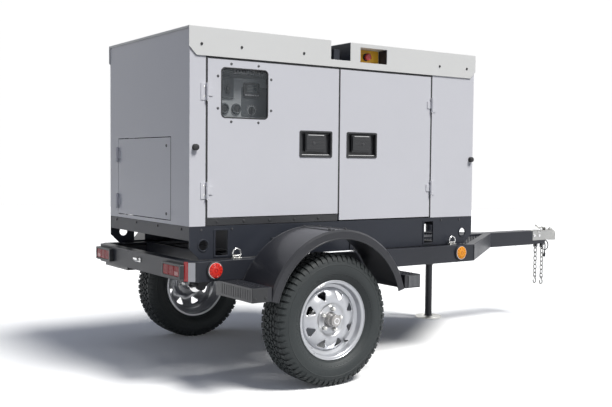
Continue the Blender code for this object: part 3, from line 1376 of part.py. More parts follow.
def radiator():
    """Radiator core with its tanks, on the skid's front beam."""
    x = ENCLOSURE_FRONT - 0.110
    bottom = SKID_TOP - 0.0012 + SEAT
    made = box("radiator", (x, -0.300, bottom + 0.080), (x + 0.070, 0.300, 1.560), ALUMINIUM)
    join(made, box("bottom_tank", (x - 0.006, -0.330, bottom), (x + 0.078, 0.330, bottom + 0.082)))
    join(made, box("top_tank", (x - 0.006, -0.330, 1.550), (x + 0.078, 0.330, 1.640)))
    return made


def muffler():
    """Silencer over the engine, on its downpipe from the head."""
    x0, x1, y, z = ENGINE_REAR + 0.080, ENGINE_FRONT - 0.020, 0.230, 1.560
    made = rod("muffler", (x0, y, z), (x1, y, z), 0.075, STEEL, 16)
    x = ENGINE_REAR + 0.260
    pipe = [(x, 0.118 + 0.016, 1.320), (x, y - 0.03, 1.320), (x, y, 1.350), (x, y, 1.500)]
    join(made, tube("downpipe", pipe, 0.021, roundness=2))
    join(made, box("flange", (x - 0.035, 0.1203, 1.285), (x + 0.035, 0.132 + 0.004, 1.355)))
    return join(made, tube("outlet", [(x1 - 0.01, y, z), (x1 + 0.080, y, z), (x1 + 0.110, y, z + 0.03),
                                      (x1 + 0.110, y, z + 0.20)], 0.021, roundness=2))


def battery():
    """Starter battery with two posts, across the rear bearer."""
    x, y, z = BEARER_XS[0], 0.360, BEARER_TOP + SEAT
    made = box("battery", (x - 0.120, y - 0.085, z), (x + 0.120, y + 0.085, z + 0.185), BLACK_PLASTIC)
    for offset in (-0.08, 0.08):
        join(made, rod("post", (x + offset, y - 0.05, z + 0.180), (x + offset, y - 0.05, z + 0.202), 0.008,
                       steps=12))
    return made


PANEL_FACE_Y = -HALF_WIDTH + 0.085
KNOB_X, KNOB_Z = ENCLOSURE_REAR + 0.410, 1.432


def control_panel():
    """Control cabinet behind the window, on the rear panel's inner face."""
    low = (ENCLOSURE_REAR + SHEET + SEAT, PANEL_FACE_Y, 1.330)
    made = box("control_panel", low, (ENCLOSURE_REAR + 0.530, PANEL_FACE_Y + 0.130, 1.672), PANEL_GREY)
    x = ENCLOSURE_REAR
    join(made,
         box("breaker", (x + 0.200, PANEL_FACE_Y - 0.018, 1.500), (x + 0.262, PANEL_FACE_Y + 0.001, 1.600)))
    join(made,
         box("display", (x + 0.335, PANEL_FACE_Y - 0.012, 1.500), (x + 0.445, PANEL_FACE_Y + 0.001, 1.590)))
    for offset in (0.215, 0.285):
        place = (x + offset, PANEL_FACE_Y, 1.432)
        join(made, rod("outlet", (place[0], place[1] - 0.010, place[2]),
                       (place[0], place[1] + 0.002, place[2]), 0.026, steps=12))
    return cut(made, rod("knob_hole", (KNOB_X, PANEL_FACE_Y - 0.01, KNOB_Z),
                         (KNOB_X, PANEL_FACE_Y + 0.03, KNOB_Z), 0.0062, steps=12))


def selector_knob():
    """Rotary selector with a grip bar, on a stub in the panel."""
    y = PANEL_FACE_Y - SEAT
    made = rod("selector_knob", (KNOB_X, y, KNOB_Z), (KNOB_X, y - 0.008, KNOB_Z), 0.019, BLACK_PLASTIC, 12)
    join(made, box("grip", (KNOB_X - 0.0045, y - 0.022, KNOB_Z - 0.018),
                   (KNOB_X + 0.0045, y - 0.006, KNOB_Z + 0.018)))
    return join(made,
                rod("stub", (KNOB_X, y - 0.002, KNOB_Z), (KNOB_X, y + 0.022, KNOB_Z), 0.0055, steps=12))


def side_marker(side, end):
    """Round marker lamp on the rail's outer face."""
    x = ENCLOSURE_REAR + (0.097 if end == "rear" else 1.808)
    z = RAIL_TOP - 0.046
    profile = [(0, 0), (0.046, 0), (0.046, 0.008), (0.040, 0.014), (0, 0.017)]
    made = turned(f"side_marker_{side_name(side)}_{end}", profile, RED_LENS, 16)
    made.matrix_world = Matrix.Translation((x, side * (RAIL_Y + SEAT),
                                            z)) @ Matrix.Rotation(-side * math.pi / 2, 4, "X")
    return made


# ---------------------------------------------------------------- assembly

for hand in (LEFT, RIGHT):
    side_rail(hand)
    tail_lamp(hand)
    wheel = [tyre(hand), wheel_rim(hand), wheel_hub(hand)]
    wheel_pivot = on_pivot("pivot_wheel_" + side_name(hand), (AXLE_X, hand * TRACK_Y, TYRE_RADIUS), *wheel)
    arm_place = (ARM_PIVOT_X, hand * RAIL_Y, AXLE_HEIGHT)
    on_pivot("pivot_arm_" + side_name(hand), arm_place, torsion_arm(hand), wheel_pivot)
    fender(hand)
    pin_x, pin_z = chain_pin()
    on_pivot("pivot_chain_" + side_name(hand), (pin_x, hand * CHAIN_Y, pin_z), safety_chain(hand))
    for which in ("rear", "front"):
        side_marker(hand, which)
        paddle = on_pivot(f"pivot_latch_{side_name(hand)}_{which}", latch_pivot(hand, which),
                          latch_paddle(hand, which))
        carried = [side_door(hand, which), paddle]
        if (hand, which) == (RIGHT, "rear"):
            carried.append(window_pane())
        on_pivot(f"pivot_door_{side_name(hand)}_{which}", side_hinge_frames(hand, which)[0].translation,
                 *carried)
rear_bumper()
crossmember("crossmember_front", CROSSMEMBER_FRONT_X)
crossmember("crossmember_rear", CROSSMEMBER_REAR_X)
tongue_beam()
axle_beam()
jack = jack_frame()
join(bpy.data.objects["side_rail_left"], jack_mount(jack))
crank, crank_place = jack_crank(jack)
crank_pivot = on_pivot("pivot_jack_crank", crank_place, crank)
leg_pivot = on_pivot("pivot_jack_leg", jack.translation, jack_leg(jack))
on_pivot("pivot_jack", jack.translation, jack_tube(jack), crank_pivot, leg_pivot)
coupler()
on_pivot("pivot_coupler_latch", (LATCH_PIVOT_X, 0, LATCH_PIVOT_Z), coupler_latch())
harness()
skid_base()
fuel_tank()
on_pivot("pivot_fuel_cap", (FILLER_X, FILLER_Y, NECK_TOP), fuel_cap())
rear_shell()
front_shell()
roof()
lifting_frame()
on_pivot("pivot_access_door", access_hinge_frames()[0].translation, access_door())
on_pivot("pivot_stop", (stop_place()[0], -HALF_WIDTH, stop_place()[1]), stop_button())
generator_housing()
on_pivot("pivot_crankshaft", (ENGINE_FRONT, 0, SHAFT_Z), generator_rotor(), crank_pulley())
engine_block()
on_pivot("pivot_fan", (ENGINE_FRONT, 0, FAN_Z), cooling_fan())
radiator()
muffler()
battery()
control_panel()
on_pivot("pivot_selector", (KNOB_X, PANEL_FACE_Y, KNOB_Z), selector_knob())
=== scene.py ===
"""Looks for the towable diesel generator: materials, detailed pieces, lights and camera."""

import json
import math
import random

import bmesh
import bpy
from mathutils import Matrix, Vector


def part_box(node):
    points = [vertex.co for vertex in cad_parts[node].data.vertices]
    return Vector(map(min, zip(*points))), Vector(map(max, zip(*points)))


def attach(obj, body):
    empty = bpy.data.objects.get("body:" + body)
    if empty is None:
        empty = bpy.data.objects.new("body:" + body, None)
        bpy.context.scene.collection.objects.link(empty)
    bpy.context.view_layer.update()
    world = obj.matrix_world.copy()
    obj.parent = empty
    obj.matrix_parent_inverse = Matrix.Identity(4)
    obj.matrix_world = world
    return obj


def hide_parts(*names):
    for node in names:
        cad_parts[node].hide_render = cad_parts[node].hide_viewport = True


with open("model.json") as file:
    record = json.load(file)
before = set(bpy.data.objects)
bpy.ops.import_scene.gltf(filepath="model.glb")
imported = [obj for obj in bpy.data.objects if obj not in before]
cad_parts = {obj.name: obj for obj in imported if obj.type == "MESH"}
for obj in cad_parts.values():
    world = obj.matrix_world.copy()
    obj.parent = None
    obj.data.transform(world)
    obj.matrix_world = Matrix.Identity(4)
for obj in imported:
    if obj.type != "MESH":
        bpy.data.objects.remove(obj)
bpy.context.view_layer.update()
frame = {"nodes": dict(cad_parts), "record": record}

NODES = frame["nodes"]
ROOT = "trailer_and_canopy"
BODY_OF = {n: b for b, ns in frame["record"]["behaviour"]["bodies"].items() for n in ns}
SIDES = (("left", 1), ("right", -1))

# ---------------------------------------------------------------- stations in metres, as in the CAD

TAU = 2 * math.pi
REAR = -1.6675                  # enclosure's rear face
FRONT = 0.3225                  # enclosure's front face
HALF = 0.5125                   # enclosure's half width
TOP = 1.836                     # roof's top
FLANGE_Y = HALF + 0.006         # roof flange's outer face
SPLIT = REAR + 0.938            # where the front and rear side doors meet
REAR_HINGE, FRONT_HINGE = REAR + 0.097, -0.0355
HINGE_ZS = (1.011, 1.512)
LATCH_XS = {"rear": -0.8905, "front": -0.5685}
LATCH_Z = 1.260
WINDOW_X, WINDOW_Z = (-1.4865, -1.2055), (1.385, 1.641)
PANEL_FACE = -0.4275            # control panel's face, looking to the right
STOP_BACK = -0.4415             # back of the emergency stop's pocket
AXLE = Vector((-1.0035, 0, 0.344))
TRACK = 0.7625                  # from the middle to a wheel's centre
BUMPER_X = -1.7175              # bumper's rear face
BUMPER_Z = 0.609                # middle height of bumper and rails
MARKER_Z = 0.614
RAIL_SIDE = 0.6026              # rail's outer face
RAIL_TOP = 0.6602
FENDER_CENTRE = Vector((AXLE.x, 0, 0.375))
BEND_X = 0.2585                 # where the rails bend in to the tongue
DECK_TOP = 0.6470
TONGUE_PIN_X, TONGUE_PIN_Z = 1.5735, 0.541    # safety chains' pins
SHAFT = 1.100                   # crankshaft's height
FAN = 1.260                     # fan's height
ENGINE_BACK, ENGINE_NOSE = -0.7865, -0.2475

# ---------------------------------------------------------------- materials


def nodes_of(material):
    """A material's nodes, its links and its Principled shader."""
    tree = material.node_tree
    return tree.nodes, tree.links, tree.nodes["Principled BSDF"]


def surface(name, colour, rough, metal=0.0, vary=0.05, grain=60.0, bump=0.05, spread=0.08, coat=0.0,
            dust=0.0, dust_top=0.7, tone=(0.42, 0.40, 0.37), gleam=0.5):
    """A painted, plated or moulded surface: mottled colour, uneven gloss, fine bump and low dust."""
    material = bpy.data.materials.new(name)
    material.use_nodes = True
    nodes, links, shader = nodes_of(material)
    shader.inputs["Metallic"].default_value = metal
    shader.inputs["Coat Weight"].default_value = coat
    shader.inputs["Specular IOR Level"].default_value = gleam
    shader.inputs["Coat Roughness"].default_value = 0.12
    where = nodes.new("ShaderNodeTexCoord")
    broad = nodes.new("ShaderNodeTexNoise")
    broad.inputs["Scale"].default_value = 3.5
    broad.inputs["Detail"].default_value = 6.0
    fine = nodes.new("ShaderNodeTexNoise")
    fine.inputs["Scale"].default_value = grain
    fine.inputs["Detail"].default_value = 3.0
    for noise in (broad, fine):
        links.new(where.outputs["Object"], noise.inputs["Vector"])
    ramp = nodes.new("ShaderNodeMix")
    ramp.data_type = "RGBA"
    low = [c * (1 - vary) for c in colour]
    high = [min(1.0, c * (1 + vary)) for c in colour]
    ramp.inputs[6].default_value = (*low, 1)
    ramp.inputs[7].default_value = (*high, 1)
    links.new(broad.outputs["Fac"], ramp.inputs["Factor"])
    last = ramp.outputs[2]
    if dust:
        split = nodes.new("ShaderNodeSeparateXYZ")
        links.new(where.outputs["Object"], split.inputs["Vector"])
        height = nodes.new("ShaderNodeMapRange")
        height.inputs["From Min"].default_value = dust_top
        height.inputs["From Max"].default_value = 0.0
        height.inputs["To Max"].default_value = dust
        links.new(split.outputs["Z"], height.inputs["Value"])
        patch = nodes.new("ShaderNodeMath")
        patch.operation = "MULTIPLY"
        links.new(height.outputs["Result"], patch.inputs[0])
        links.new(fine.outputs["Fac"], patch.inputs[1])
        dusty = nodes.new("ShaderNodeMix")
        dusty.data_type = "RGBA"
        dusty.inputs[7].default_value = (*tone, 1)
        links.new(patch.outputs["Value"], dusty.inputs["Factor"])
        links.new(last, dusty.inputs[6])
        last = dusty.outputs[2]
    links.new(last, shader.inputs["Base Color"])
    gloss = nodes.new("ShaderNodeMapRange")
    gloss.inputs["To Min"].default_value = max(0.02, rough - spread)
    gloss.inputs["To Max"].default_value = min(1.0, rough + spread)
    links.new(broad.outputs["Fac"], gloss.inputs["Value"])
    links.new(gloss.outputs["Result"], shader.inputs["Roughness"])
    if bump:
        relief = nodes.new("ShaderNodeBump")
        relief.inputs["Strength"].default_value = bump
        relief.inputs["Distance"].default_value = 0.001
        links.new(fine.outputs["Fac"], relief.inputs["Height"])
        links.new(relief.outputs["Normal"], shader.inputs["Normal"])
    return material


def ribbed(material, axis, scale, strength):
    """Adds moulded ribs across an axis to a material's bump."""
    nodes, links, shader = nodes_of(material)
    where = nodes.new("ShaderNodeTexCoord")
    wave = nodes.new("ShaderNodeTexWave")
    wave.bands_direction = axis
    wave.inputs["Scale"].default_value = scale
    links.new(where.outputs["Object"], wave.inputs["Vector"])
    relief = nodes.new("ShaderNodeBump")
    relief.inputs["Strength"].default_value = strength
    relief.inputs["Distance"].default_value = 0.001
    links.new(wave.outputs["Fac"], relief.inputs["Height"])
    links.new(relief.outputs["Normal"], shader.inputs["Normal"])
    return material


def lens(name, colour, axis="Z", scale=60.0, gleam=0.4):
    """A moulded coloured lens with fine ribs."""
    material = surface(name, colour, 0.20, vary=0.16, bump=0, spread=0.05, gleam=gleam)
    return ribbed(material, axis, scale, 0.3)


GREY = surface("canopy_grey", (0.62, 0.62, 0.655), 0.36, vary=0.022, grain=420, bump=0.10, spread=0.05,
               coat=0.15)
ROOF_GREY = surface("roof_grey", (0.69, 0.69, 0.675), 0.38, vary=0.022, grain=420, bump=0.10, spread=0.05,
                    coat=0.12)
BLACK = surface("chassis_black", (0.016, 0.018, 0.025), 0.40, vary=0.25, grain=260, bump=0.16, dust=0.04,
                gleam=0.36)
SKID_BLACK = surface("skid_black", (0.017, 0.020, 0.029), 0.42, vary=0.2, grain=260, bump=0.16, dust=0.02,
                     gleam=0.34)
FENDER_BLACK = surface("fender_black", (0.014, 0.015, 0.020), 0.30, vary=0.2, grain=180, bump=0.12,
                       spread=0.06, coat=0.25, dust=0.04, gleam=0.36)
ZINC = surface("zinc", (0.66, 0.655, 0.63), 0.33, 1.0, vary=0.14, grain=160, bump=0.25, spread=0.12)
CHROME = surface("bright_steel", (0.72, 0.72, 0.72), 0.20, 1.0, vary=0.08, grain=120, bump=0.05)
RIM = surface("rim_silver", (0.50, 0.51, 0.535), 0.30, 0.55, vary=0.06, grain=320, bump=0.12, spread=0.07,
              coat=0.25, dust=0.10)
TYRE = surface("tyre_rubber", (0.017, 0.021, 0.022), 0.66, vary=0.25, grain=150, bump=0.35, spread=0.12,
               dust=0.09,
               dust_top=0.72, tone=(0.20, 0.24, 0.24))
RUBBER = surface("seal_rubber", (0.014, 0.014, 0.016), 0.62, vary=0.2, grain=200, bump=0.25)
PLASTIC = surface("black_plastic", (0.022, 0.023, 0.026), 0.42, vary=0.15, grain=500, bump=0.35,
                  spread=0.08)
RED_LENS = lens("red_lens", (0.50, 0.008, 0.016), gleam=0.2)
RED_ROUND = lens("red_round_lens", (0.72, 0.026, 0.014), "Y", 45.0)
AMBER_ROUND = lens("amber_round_lens", (0.95, 0.34, 0.008), "Y", 45.0)
RED_DEEP = lens("red_deep_lens", (0.34, 0.006, 0.008), gleam=0.3)
AMBER_DEEP = lens("amber_deep_lens", (0.52, 0.13, 0.004), gleam=0.3)
WHITE_LENS = lens("white_lens", (0.80, 0.80, 0.78), "Z", 70.0)
BLACKENED = surface("blackened_steel", (0.085, 0.085, 0.090), 0.34, 0.85, vary=0.15, grain=200, bump=0.1)
STEP_BLACK = surface("step_black", (0.020, 0.021, 0.023), 0.50, vary=0.2, grain=220, bump=0.25)
STEP_GREY = surface("step_edge_grey", (0.20, 0.205, 0.215), 0.42, 0.3, vary=0.12, grain=220, bump=0.25)
STOP_RED = surface("stop_red", (0.52, 0.016, 0.020), 0.24, vary=0.06, grain=200, bump=0.04, coat=0.4)
YELLOW = surface("stop_yellow", (0.86, 0.48, 0.035), 0.38, vary=0.05, grain=300, bump=0.08)
TAPE_RED = surface("tape_red", (0.50, 0.020, 0.025), 0.25, vary=0.05, grain=900, bump=0.3, coat=0.4)
TAPE_GREY = surface("tape_grey", (0.55, 0.55, 0.57), 0.25, vary=0.05, grain=900, bump=0.3, coat=0.4)
PANEL_LIGHT = surface("panel_light", (0.50, 0.52, 0.53), 0.42, vary=0.04, grain=300, bump=0.1)
PANEL_DARK = surface("panel_dark", (0.085, 0.095, 0.105), 0.42, vary=0.10, grain=300, bump=0.1)
SCREEN = surface("screen", (0.030, 0.060, 0.065), 0.12, vary=0.2, grain=40, bump=0, coat=0.8)
ENGINE = surface("engine_paint", (0.060, 0.075, 0.085), 0.42, 0.15, vary=0.22, grain=90, bump=0.5,
                 spread=0.12)
ALUMINIUM = surface("cast_aluminium", (0.42, 0.43, 0.44), 0.45, 0.85, vary=0.12, grain=70, bump=0.5,
                    spread=0.12)
DULL_ZINC = surface("dull_zinc", (0.42, 0.42, 0.41), 0.40, 0.9, vary=0.2, grain=90, bump=0.3, spread=0.15)
CHAIN_STEEL = surface("chain_steel", (0.24, 0.24, 0.235), 0.42, 0.9, vary=0.2, grain=90, bump=0.3,
                      spread=0.15)
STEEL = surface("bare_steel", (0.40, 0.39, 0.38), 0.38, 0.9, vary=0.2, grain=60, bump=0.3, spread=0.15)
# near-black foam of the door linings, also used as painted shade for the generator's slot openings
FOAM_AND_SLOT_SHADE = surface("sound_foam_and_slot_shade", (0.020, 0.021, 0.023), 0.92, vary=0.3, grain=45, bump=1.0, spread=0.05)


def clear_pane():
    """Thin polycarbonate: mostly see-through, with a gloss and a faint smoke tint."""
    material = bpy.data.materials.new("clear_pane")
    material.use_nodes = True
    nodes, links, shader = nodes_of(material)
    shader.inputs["Roughness"].default_value = 0.04
    shader.inputs["IOR"].default_value = 1.49
    where = nodes.new("ShaderNodeTexCoord")
    haze = nodes.new("ShaderNodeTexNoise")
    haze.inputs["Scale"].default_value = 5.0
    links.new(where.outputs["Object"], haze.inputs["Vector"])
    tint = nodes.new("ShaderNodeMix")
    tint.data_type = "RGBA"
    tint.inputs[6].default_value = (0.100, 0.112, 0.120, 1)
    tint.inputs[7].default_value = (0.160, 0.176, 0.186, 1)
    links.new(haze.outputs["Fac"], tint.inputs["Factor"])
    links.new(tint.outputs[2], shader.inputs["Base Color"])
    cover = nodes.new("ShaderNodeMapRange")
    cover.inputs["To Min"].default_value = 0.10
    cover.inputs["To Max"].default_value = 0.24
    links.new(haze.outputs["Fac"], cover.inputs["Value"])
    links.new(cover.outputs["Result"], shader.inputs["Alpha"])
    return material


PANE = clear_pane()

# ---------------------------------------------------------------- stage, lights, camera


def seen_rays(nodes, links):
    """A value that is 1 for rays from the camera, in a reflection or through glass, and 0 for other light."""
    ray = nodes.new("ShaderNodeLightPath")
    total = ray.outputs["Is Camera Ray"]
    for kind in ("Is Glossy Ray", "Is Transmission Ray"):
        joined = nodes.new("ShaderNodeMath")
        joined.operation = "MAXIMUM"
        links.new(total, joined.inputs[0])
        links.new(ray.outputs[kind], joined.inputs[1])
        total = joined.outputs["Value"]
    return total


def backdrop_material(name, seen, lit, glow):
    """A plain pale surface that the camera and reflections see as white, and that bounces little light back."""
    material = bpy.data.materials.new(name)
    material.use_nodes = True
    nodes, links, shader = nodes_of(material)
    shader.inputs["Roughness"].default_value = 0.9
    shader.inputs["Specular IOR Level"].default_value = 0.1
    shader.inputs["Emission Color"].default_value = (1, 1, 1, 1)
    total = seen_rays(nodes, links)
    shade = nodes.new("ShaderNodeMix")
    shade.data_type = "RGBA"
    shade.inputs[6].default_value = (lit, lit, lit, 1)
    shade.inputs[7].default_value = (seen, seen, seen, 1)
    links.new(total, shade.inputs["Factor"])
    links.new(shade.outputs[2], shader.inputs["Base Color"])
    bright = nodes.new("ShaderNodeMath")
    bright.operation = "MULTIPLY"
    bright.inputs[1].default_value = glow
    links.new(total, bright.inputs[0])
    links.new(bright.outputs["Value"], shader.inputs["Emission Strength"])
    return material


def quad(name, corners, material):
    """A flat piece of the set round the part, with no body of its own."""
    mesh = bpy.data.meshes.new(name)
    mesh.from_pydata(corners, [], [(0, 1, 2, 3)])
    mesh.materials.append(material)
    made = bpy.data.objects.new(name, mesh)
    bpy.context.scene.collection.objects.link(made)


def camera_and_light():
    """The photo's camera, the sun, the sky's fill and the white floor."""
    scene = bpy.context.scene
    scene.view_settings.view_transform = "Standard"
    yaw, pitch, roll = math.radians(34.79), math.radians(2.733), math.radians(0.532)
    forward = Vector((math.sin(yaw) * math.cos(pitch), math.cos(yaw) * math.cos(pitch), -math.sin(pitch)))
    right = Vector((math.cos(yaw), -math.sin(yaw), 0))
    up = right.cross(forward)
    across = right * math.cos(roll) + up * math.sin(roll)
    upward = up * math.cos(roll) - right * math.sin(roll)
    data = bpy.data.cameras.new("camera")
    data.lens, data.sensor_width = 51.07, 36.0
    camera = bpy.data.objects.new("camera", data)
    scene.collection.objects.link(camera)
    place = Vector((-3.6705, -4.423, 1.161))
    camera.matrix_world = Matrix([
        (across.x, upward.x, -forward.x, place.x),
        (across.y, upward.y, -forward.y, place.y),
        (across.z, upward.z, -forward.z, place.z),
        (0, 0, 0, 1),
    ])
    scene.camera = camera
    quad("floor", [(-40, -40, 0), (40, -40, 0), (40, 40, 0), (-40, 40, 0)],
         backdrop_material("floor_white", 1.0, 0.16, 0.03))
    middle, side = forward * 16, right * 40
    low, high = Vector((0, 0, -middle.z)), Vector((0, 0, 26))
    quad("backdrop", [middle - side + low, middle + side + low, middle + side + high, middle - side + high],
         backdrop_material("backdrop_white", 0.0, 0.0, 1.0))
    world = bpy.data.worlds.new("studio")
    world.use_nodes = True
    nodes, links = world.node_tree.nodes, world.node_tree.links
    shade = nodes["Background"]
    tone = nodes.new("ShaderNodeMix")
    tone.data_type = "RGBA"
    tone.inputs[6].default_value = (0.245, 0.272, 0.338, 1)
    tone.inputs[7].default_value = (1, 1, 1, 1)
    links.new(seen_rays(nodes, links), tone.inputs["Factor"])
    links.new(tone.outputs[2], shade.inputs["Color"])
    scene.world = world
    sun = bpy.data.lights.new("key", "SUN")
    sun.energy, sun.angle = 4.2, math.radians(20)
    sun.color = (1.0, 0.99, 0.965)
    key = bpy.data.objects.new("key", sun)
    scene.collection.objects.link(key)
    key.rotation_euler = Vector((0.28, -0.66, 1.05)).to_track_quat("Z", "Y").to_euler()


camera_and_light()

# ---------------------------------------------------------------- shape helpers


def show(name, shape, material, body=ROOT, angle=35, bevel=0.0, segments=2):
    """A piece made from a bmesh, with smooth faces between sharp edges, riding on a body."""
    mesh = bpy.data.meshes.new(name)
    bmesh.ops.recalc_face_normals(shape, faces=shape.faces)
    shape.to_mesh(mesh)
    shape.free()
    mesh.materials.append(material)
    made = bpy.data.objects.new(name, mesh)
    bpy.context.scene.collection.objects.link(made)
    if bevel:
        soft = made.modifiers.new("Bevel", "BEVEL")
        soft.width, soft.segments = bevel, segments
        soft.limit_method, soft.angle_limit = "ANGLE", math.radians(40)
        soft.use_clamp_overlap = True
    mesh.shade_smooth()
    mesh.set_sharp_from_angle(angle=math.radians(angle))
    if bevel:
        tidy = made.modifiers.new("Normals", "WEIGHTED_NORMAL")
        tidy.keep_sharp = True
    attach(made, body)
    return made


def block(shape, low, high, turn=None):
    """Adds a box between two corners, optionally turned by a matrix about the world origin."""
    low, high = Vector(low), Vector(high)
    made = bmesh.ops.create_cube(shape, size=1.0)["verts"]
    bmesh.ops.scale(shape, vec=high - low, verts=made)
    bmesh.ops.translate(shape, vec=(low + high) / 2, verts=made)
    if turn is not None:
        bmesh.ops.transform(shape, matrix=turn, verts=made)


def aim(start, end):
    """Placement at the middle of a line, with its z axis along the line."""
    start, end = Vector(start), Vector(end)
    return Matrix.Translation((start + end) / 2) @ (end - start).to_track_quat("Z",
                                                                               "Y").to_matrix().to_4x4()


def bar(shape, start, end, radius, steps=24, last=None):
    """Adds a cylinder or cone between two points."""
    length = (Vector(end) - Vector(start)).length
    bmesh.ops.create_cone(shape, cap_ends=True, segments=steps, radius1=radius,
                          radius2=radius if last is None else last,
                          depth=length, matrix=aim(start, end))


def lathe(shape, profile, matrix, steps=32, closed=False):
    """Adds a profile of (radius, height) turned about the matrix's Z axis."""
    rings = []
    for radius, height in profile:
        if radius < 1e-6:
            rings.append([shape.verts.new(matrix @ Vector((0, 0, height)))])
        else:
            rings.append([shape.verts.new(matrix @ Vector((radius * math.cos(TAU * i / steps),
                                                           radius * math.sin(TAU * i / steps), height)))
                          for i in range(steps)])
    pairs = list(zip(rings, rings[1:]))
    if closed:
        pairs.append((rings[-1], rings[0]))
    for a, b in pairs:
        for i in range(steps):
            j = (i + 1) % steps
            if len(a) == 1 and len(b) == 1:
                continue
            if len(a) == 1:
                shape.faces.new((a[0], b[i], b[j]))
            elif len(b) == 1:
                shape.faces.new((a[i], b[0], a[j]))
            else:
                shape.faces.new((a[i], b[i], b[j], a[j]))


def sweep(shape, points, radius, steps=10, closed=False):
    """Adds a round bar along a line of points."""
    points = [Vector(p) for p in points]
    count = len(points)
    normal = None
    rings = []
    for k, point in enumerate(points):
        before = points[(k - 1) % count] if closed or k else point
        after = points[(k + 1) % count] if closed or k < count - 1 else point
        tangent = (after - before).normalized()
        if normal is None:
            normal = tangent.orthogonal().normalized()
        normal = (normal - tangent * normal.dot(tangent)).normalized()
        other = tangent.cross(normal)
        rings.append([shape.verts.new(point + (normal * math.cos(TAU * i / steps)
                                               + other * math.sin(TAU * i / steps)) * radius)
                      for i in range(steps)])
    pairs = list(zip(rings, rings[1:]))
    if closed:
        pairs.append((rings[-1], rings[0]))
    for a, b in pairs:
        for i in range(steps):
            j = (i + 1) % steps
            shape.faces.new((a[i], a[j], b[j], b[i]))
    if not closed:
        shape.faces.new(rings[0][::-1])
        shape.faces.new(rings[-1])


def smooth_line(points, spacing):
    """Points at about the given spacing on a smooth curve through the given points."""
    points = [Vector(p) for p in points]
    padded = [points[0] * 2 - points[1], *points, points[-1] * 2 - points[-2]]
    line = [points[0]]
    for a, b, c, d in zip(padded, padded[1:], padded[2:], padded[3:]):
        count = max(1, round((c - b).length / spacing))
        for i in range(1, count + 1):
            t = i / count
            line.append(0.5 * (2 * b + (c - a) * t + (2 * a - 5 * b + 4 * c - d) * t**2
                               + (3 * b - a - 3 * c + d) * t**3))
    return line


def outline_sheet(shape, outline, holes, place, thickness):
    """Adds a flat plate with holes: outline and holes are loops in the matrix's XY, thickness along its Z."""
    edges = []
    for loop in (outline, *holes):
        made = [shape.verts.new((x, y, 0)) for x, y in loop]
        edges += [shape.edges.new((a, b)) for a, b in zip(made, made[1:] + made[:1])]
    faces = [f for f in bmesh.ops.triangle_fill(shape, use_beauty=True, use_dissolve=True,
                                                edges=edges)["geom"]
             if isinstance(f, bmesh.types.BMFace)]
    solid = bmesh.ops.extrude_face_region(shape, geom=faces)["geom"]
    moved = [v for v in solid if isinstance(v, bmesh.types.BMVert)]
    bmesh.ops.translate(shape, vec=(0, 0, thickness), verts=moved)
    verts = {v for f in faces for v in f.verts if v.is_valid} | set(moved)
    bmesh.ops.transform(shape, matrix=place, verts=list(verts))


def rounded(x0, y0, x1, y1, radius, steps=6):
    """Outline of a rectangle with rounded corners."""
    centres = ((x1 - radius, y1 - radius, 0), (x0 + radius, y1 - radius, 90),
               (x0 + radius, y0 + radius, 180), (x1 - radius, y0 + radius, 270))
    return [(x + radius * math.cos(math.radians(a + 90 * i / steps)),
             y + radius * math.sin(math.radians(a + 90 * i / steps)))
            for x, y, a in centres for i in range(steps + 1)]


def facing(point, normal, up=(0, 0, 1)):
    """A matrix at a point whose Z is this normal and whose Y is as near up as can be."""
    z = Vector(normal).normalized()
    x = Vector(up).cross(z).normalized() if abs(Vector(up).normalized().dot(z)) < 0.99 else Vector((1, 0,
                                                                                                    0))
    y = z.cross(x)
    return Matrix(((x.x, y.x, z.x, point[0]), (x.y, y.y, z.y, point[1]), (x.z, y.z, z.z, point[2]),
                   (0, 0, 0, 1)))


def moved(place, x, y, z):
    """The matrix shifted along its own axes."""
    return place @ Matrix.Translation((x, y, z))


def spun(place, angle):
    """The matrix turned about its own Z."""
    return place @ Matrix.Rotation(angle, 4, "Z")


def circle(radius, count):
    """Points of a circle about the origin."""
    return [(radius * math.cos(TAU * k / count), radius * math.sin(TAU * k / count)) for k in range(count)]


def plate(shape, place, half_x, half_y, radius, thickness, lift=0.0):
    """Adds a flat plate with round corners, centred on the matrix and lifted along its Z."""
    outline = rounded(-half_x, -half_y, half_x, half_y, radius)
    outline_sheet(shape, outline, [], moved(place, 0, 0, lift), thickness)


def side_block(shape, side, x_span, y_span, z_span):
    """Adds a box on one side of the trailer: the Y span is measured outward from the middle."""
    low, high = sorted(side * y for y in y_span)
    block(shape, (x_span[0], low, z_span[0]), (x_span[1], high, z_span[1]))


def side_place(x, z, side, proud=0.0):
    """A matrix on the enclosure's side whose Z points outward and whose Y is up."""
    return facing((x, side * (HALF + proud), z), (0, side, 0))


def screw_head(shape, place, radius=0.0045, height=0.0022):
    """Domed cross-head screw with its washer."""
    lathe(shape, [(0, -0.001), (radius * 1.35, -0.001), (radius * 1.35, 0.0006), (radius, 0.0007),
                  (radius, height * 0.5),
                  (radius * 0.7, height * 0.9), (radius * 0.28, height), (radius * 0.24, height * 0.55),
                  (0, height * 0.5)], place, 14)


def hex_bolt(shape, place, size=0.011, height=0.008):
    """Hexagon head on a washer."""
    lathe(shape, [(0, -0.001), (size * 1.2, -0.001), (size * 1.2, 0.0015), (0, 0.0015)], place, 20)
    lathe(shape, [(size * 0.9, 0.0015), (size, 0.003), (size, height - 0.001), (size * 0.86, height),
                  (0, height)], place, 6)


def dress(name, material, bevel=0.0012, segments=2, angle=35):
    """A copy of a CAD node with softened edges and a finished material, which stands for the node."""
    source = NODES[name]
    shape = bmesh.new()
    shape.from_mesh(source.data)
    bmesh.ops.remove_doubles(shape, verts=shape.verts, dist=2e-6)
    bmesh.ops.dissolve_limit(shape, angle_limit=math.radians(0.6), verts=shape.verts, edges=shape.edges)
    made = show(name + "_skin", shape, material, BODY_OF[name], angle, bevel, segments)
    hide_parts(name)


# ---------------------------------------------------------------- harness cord


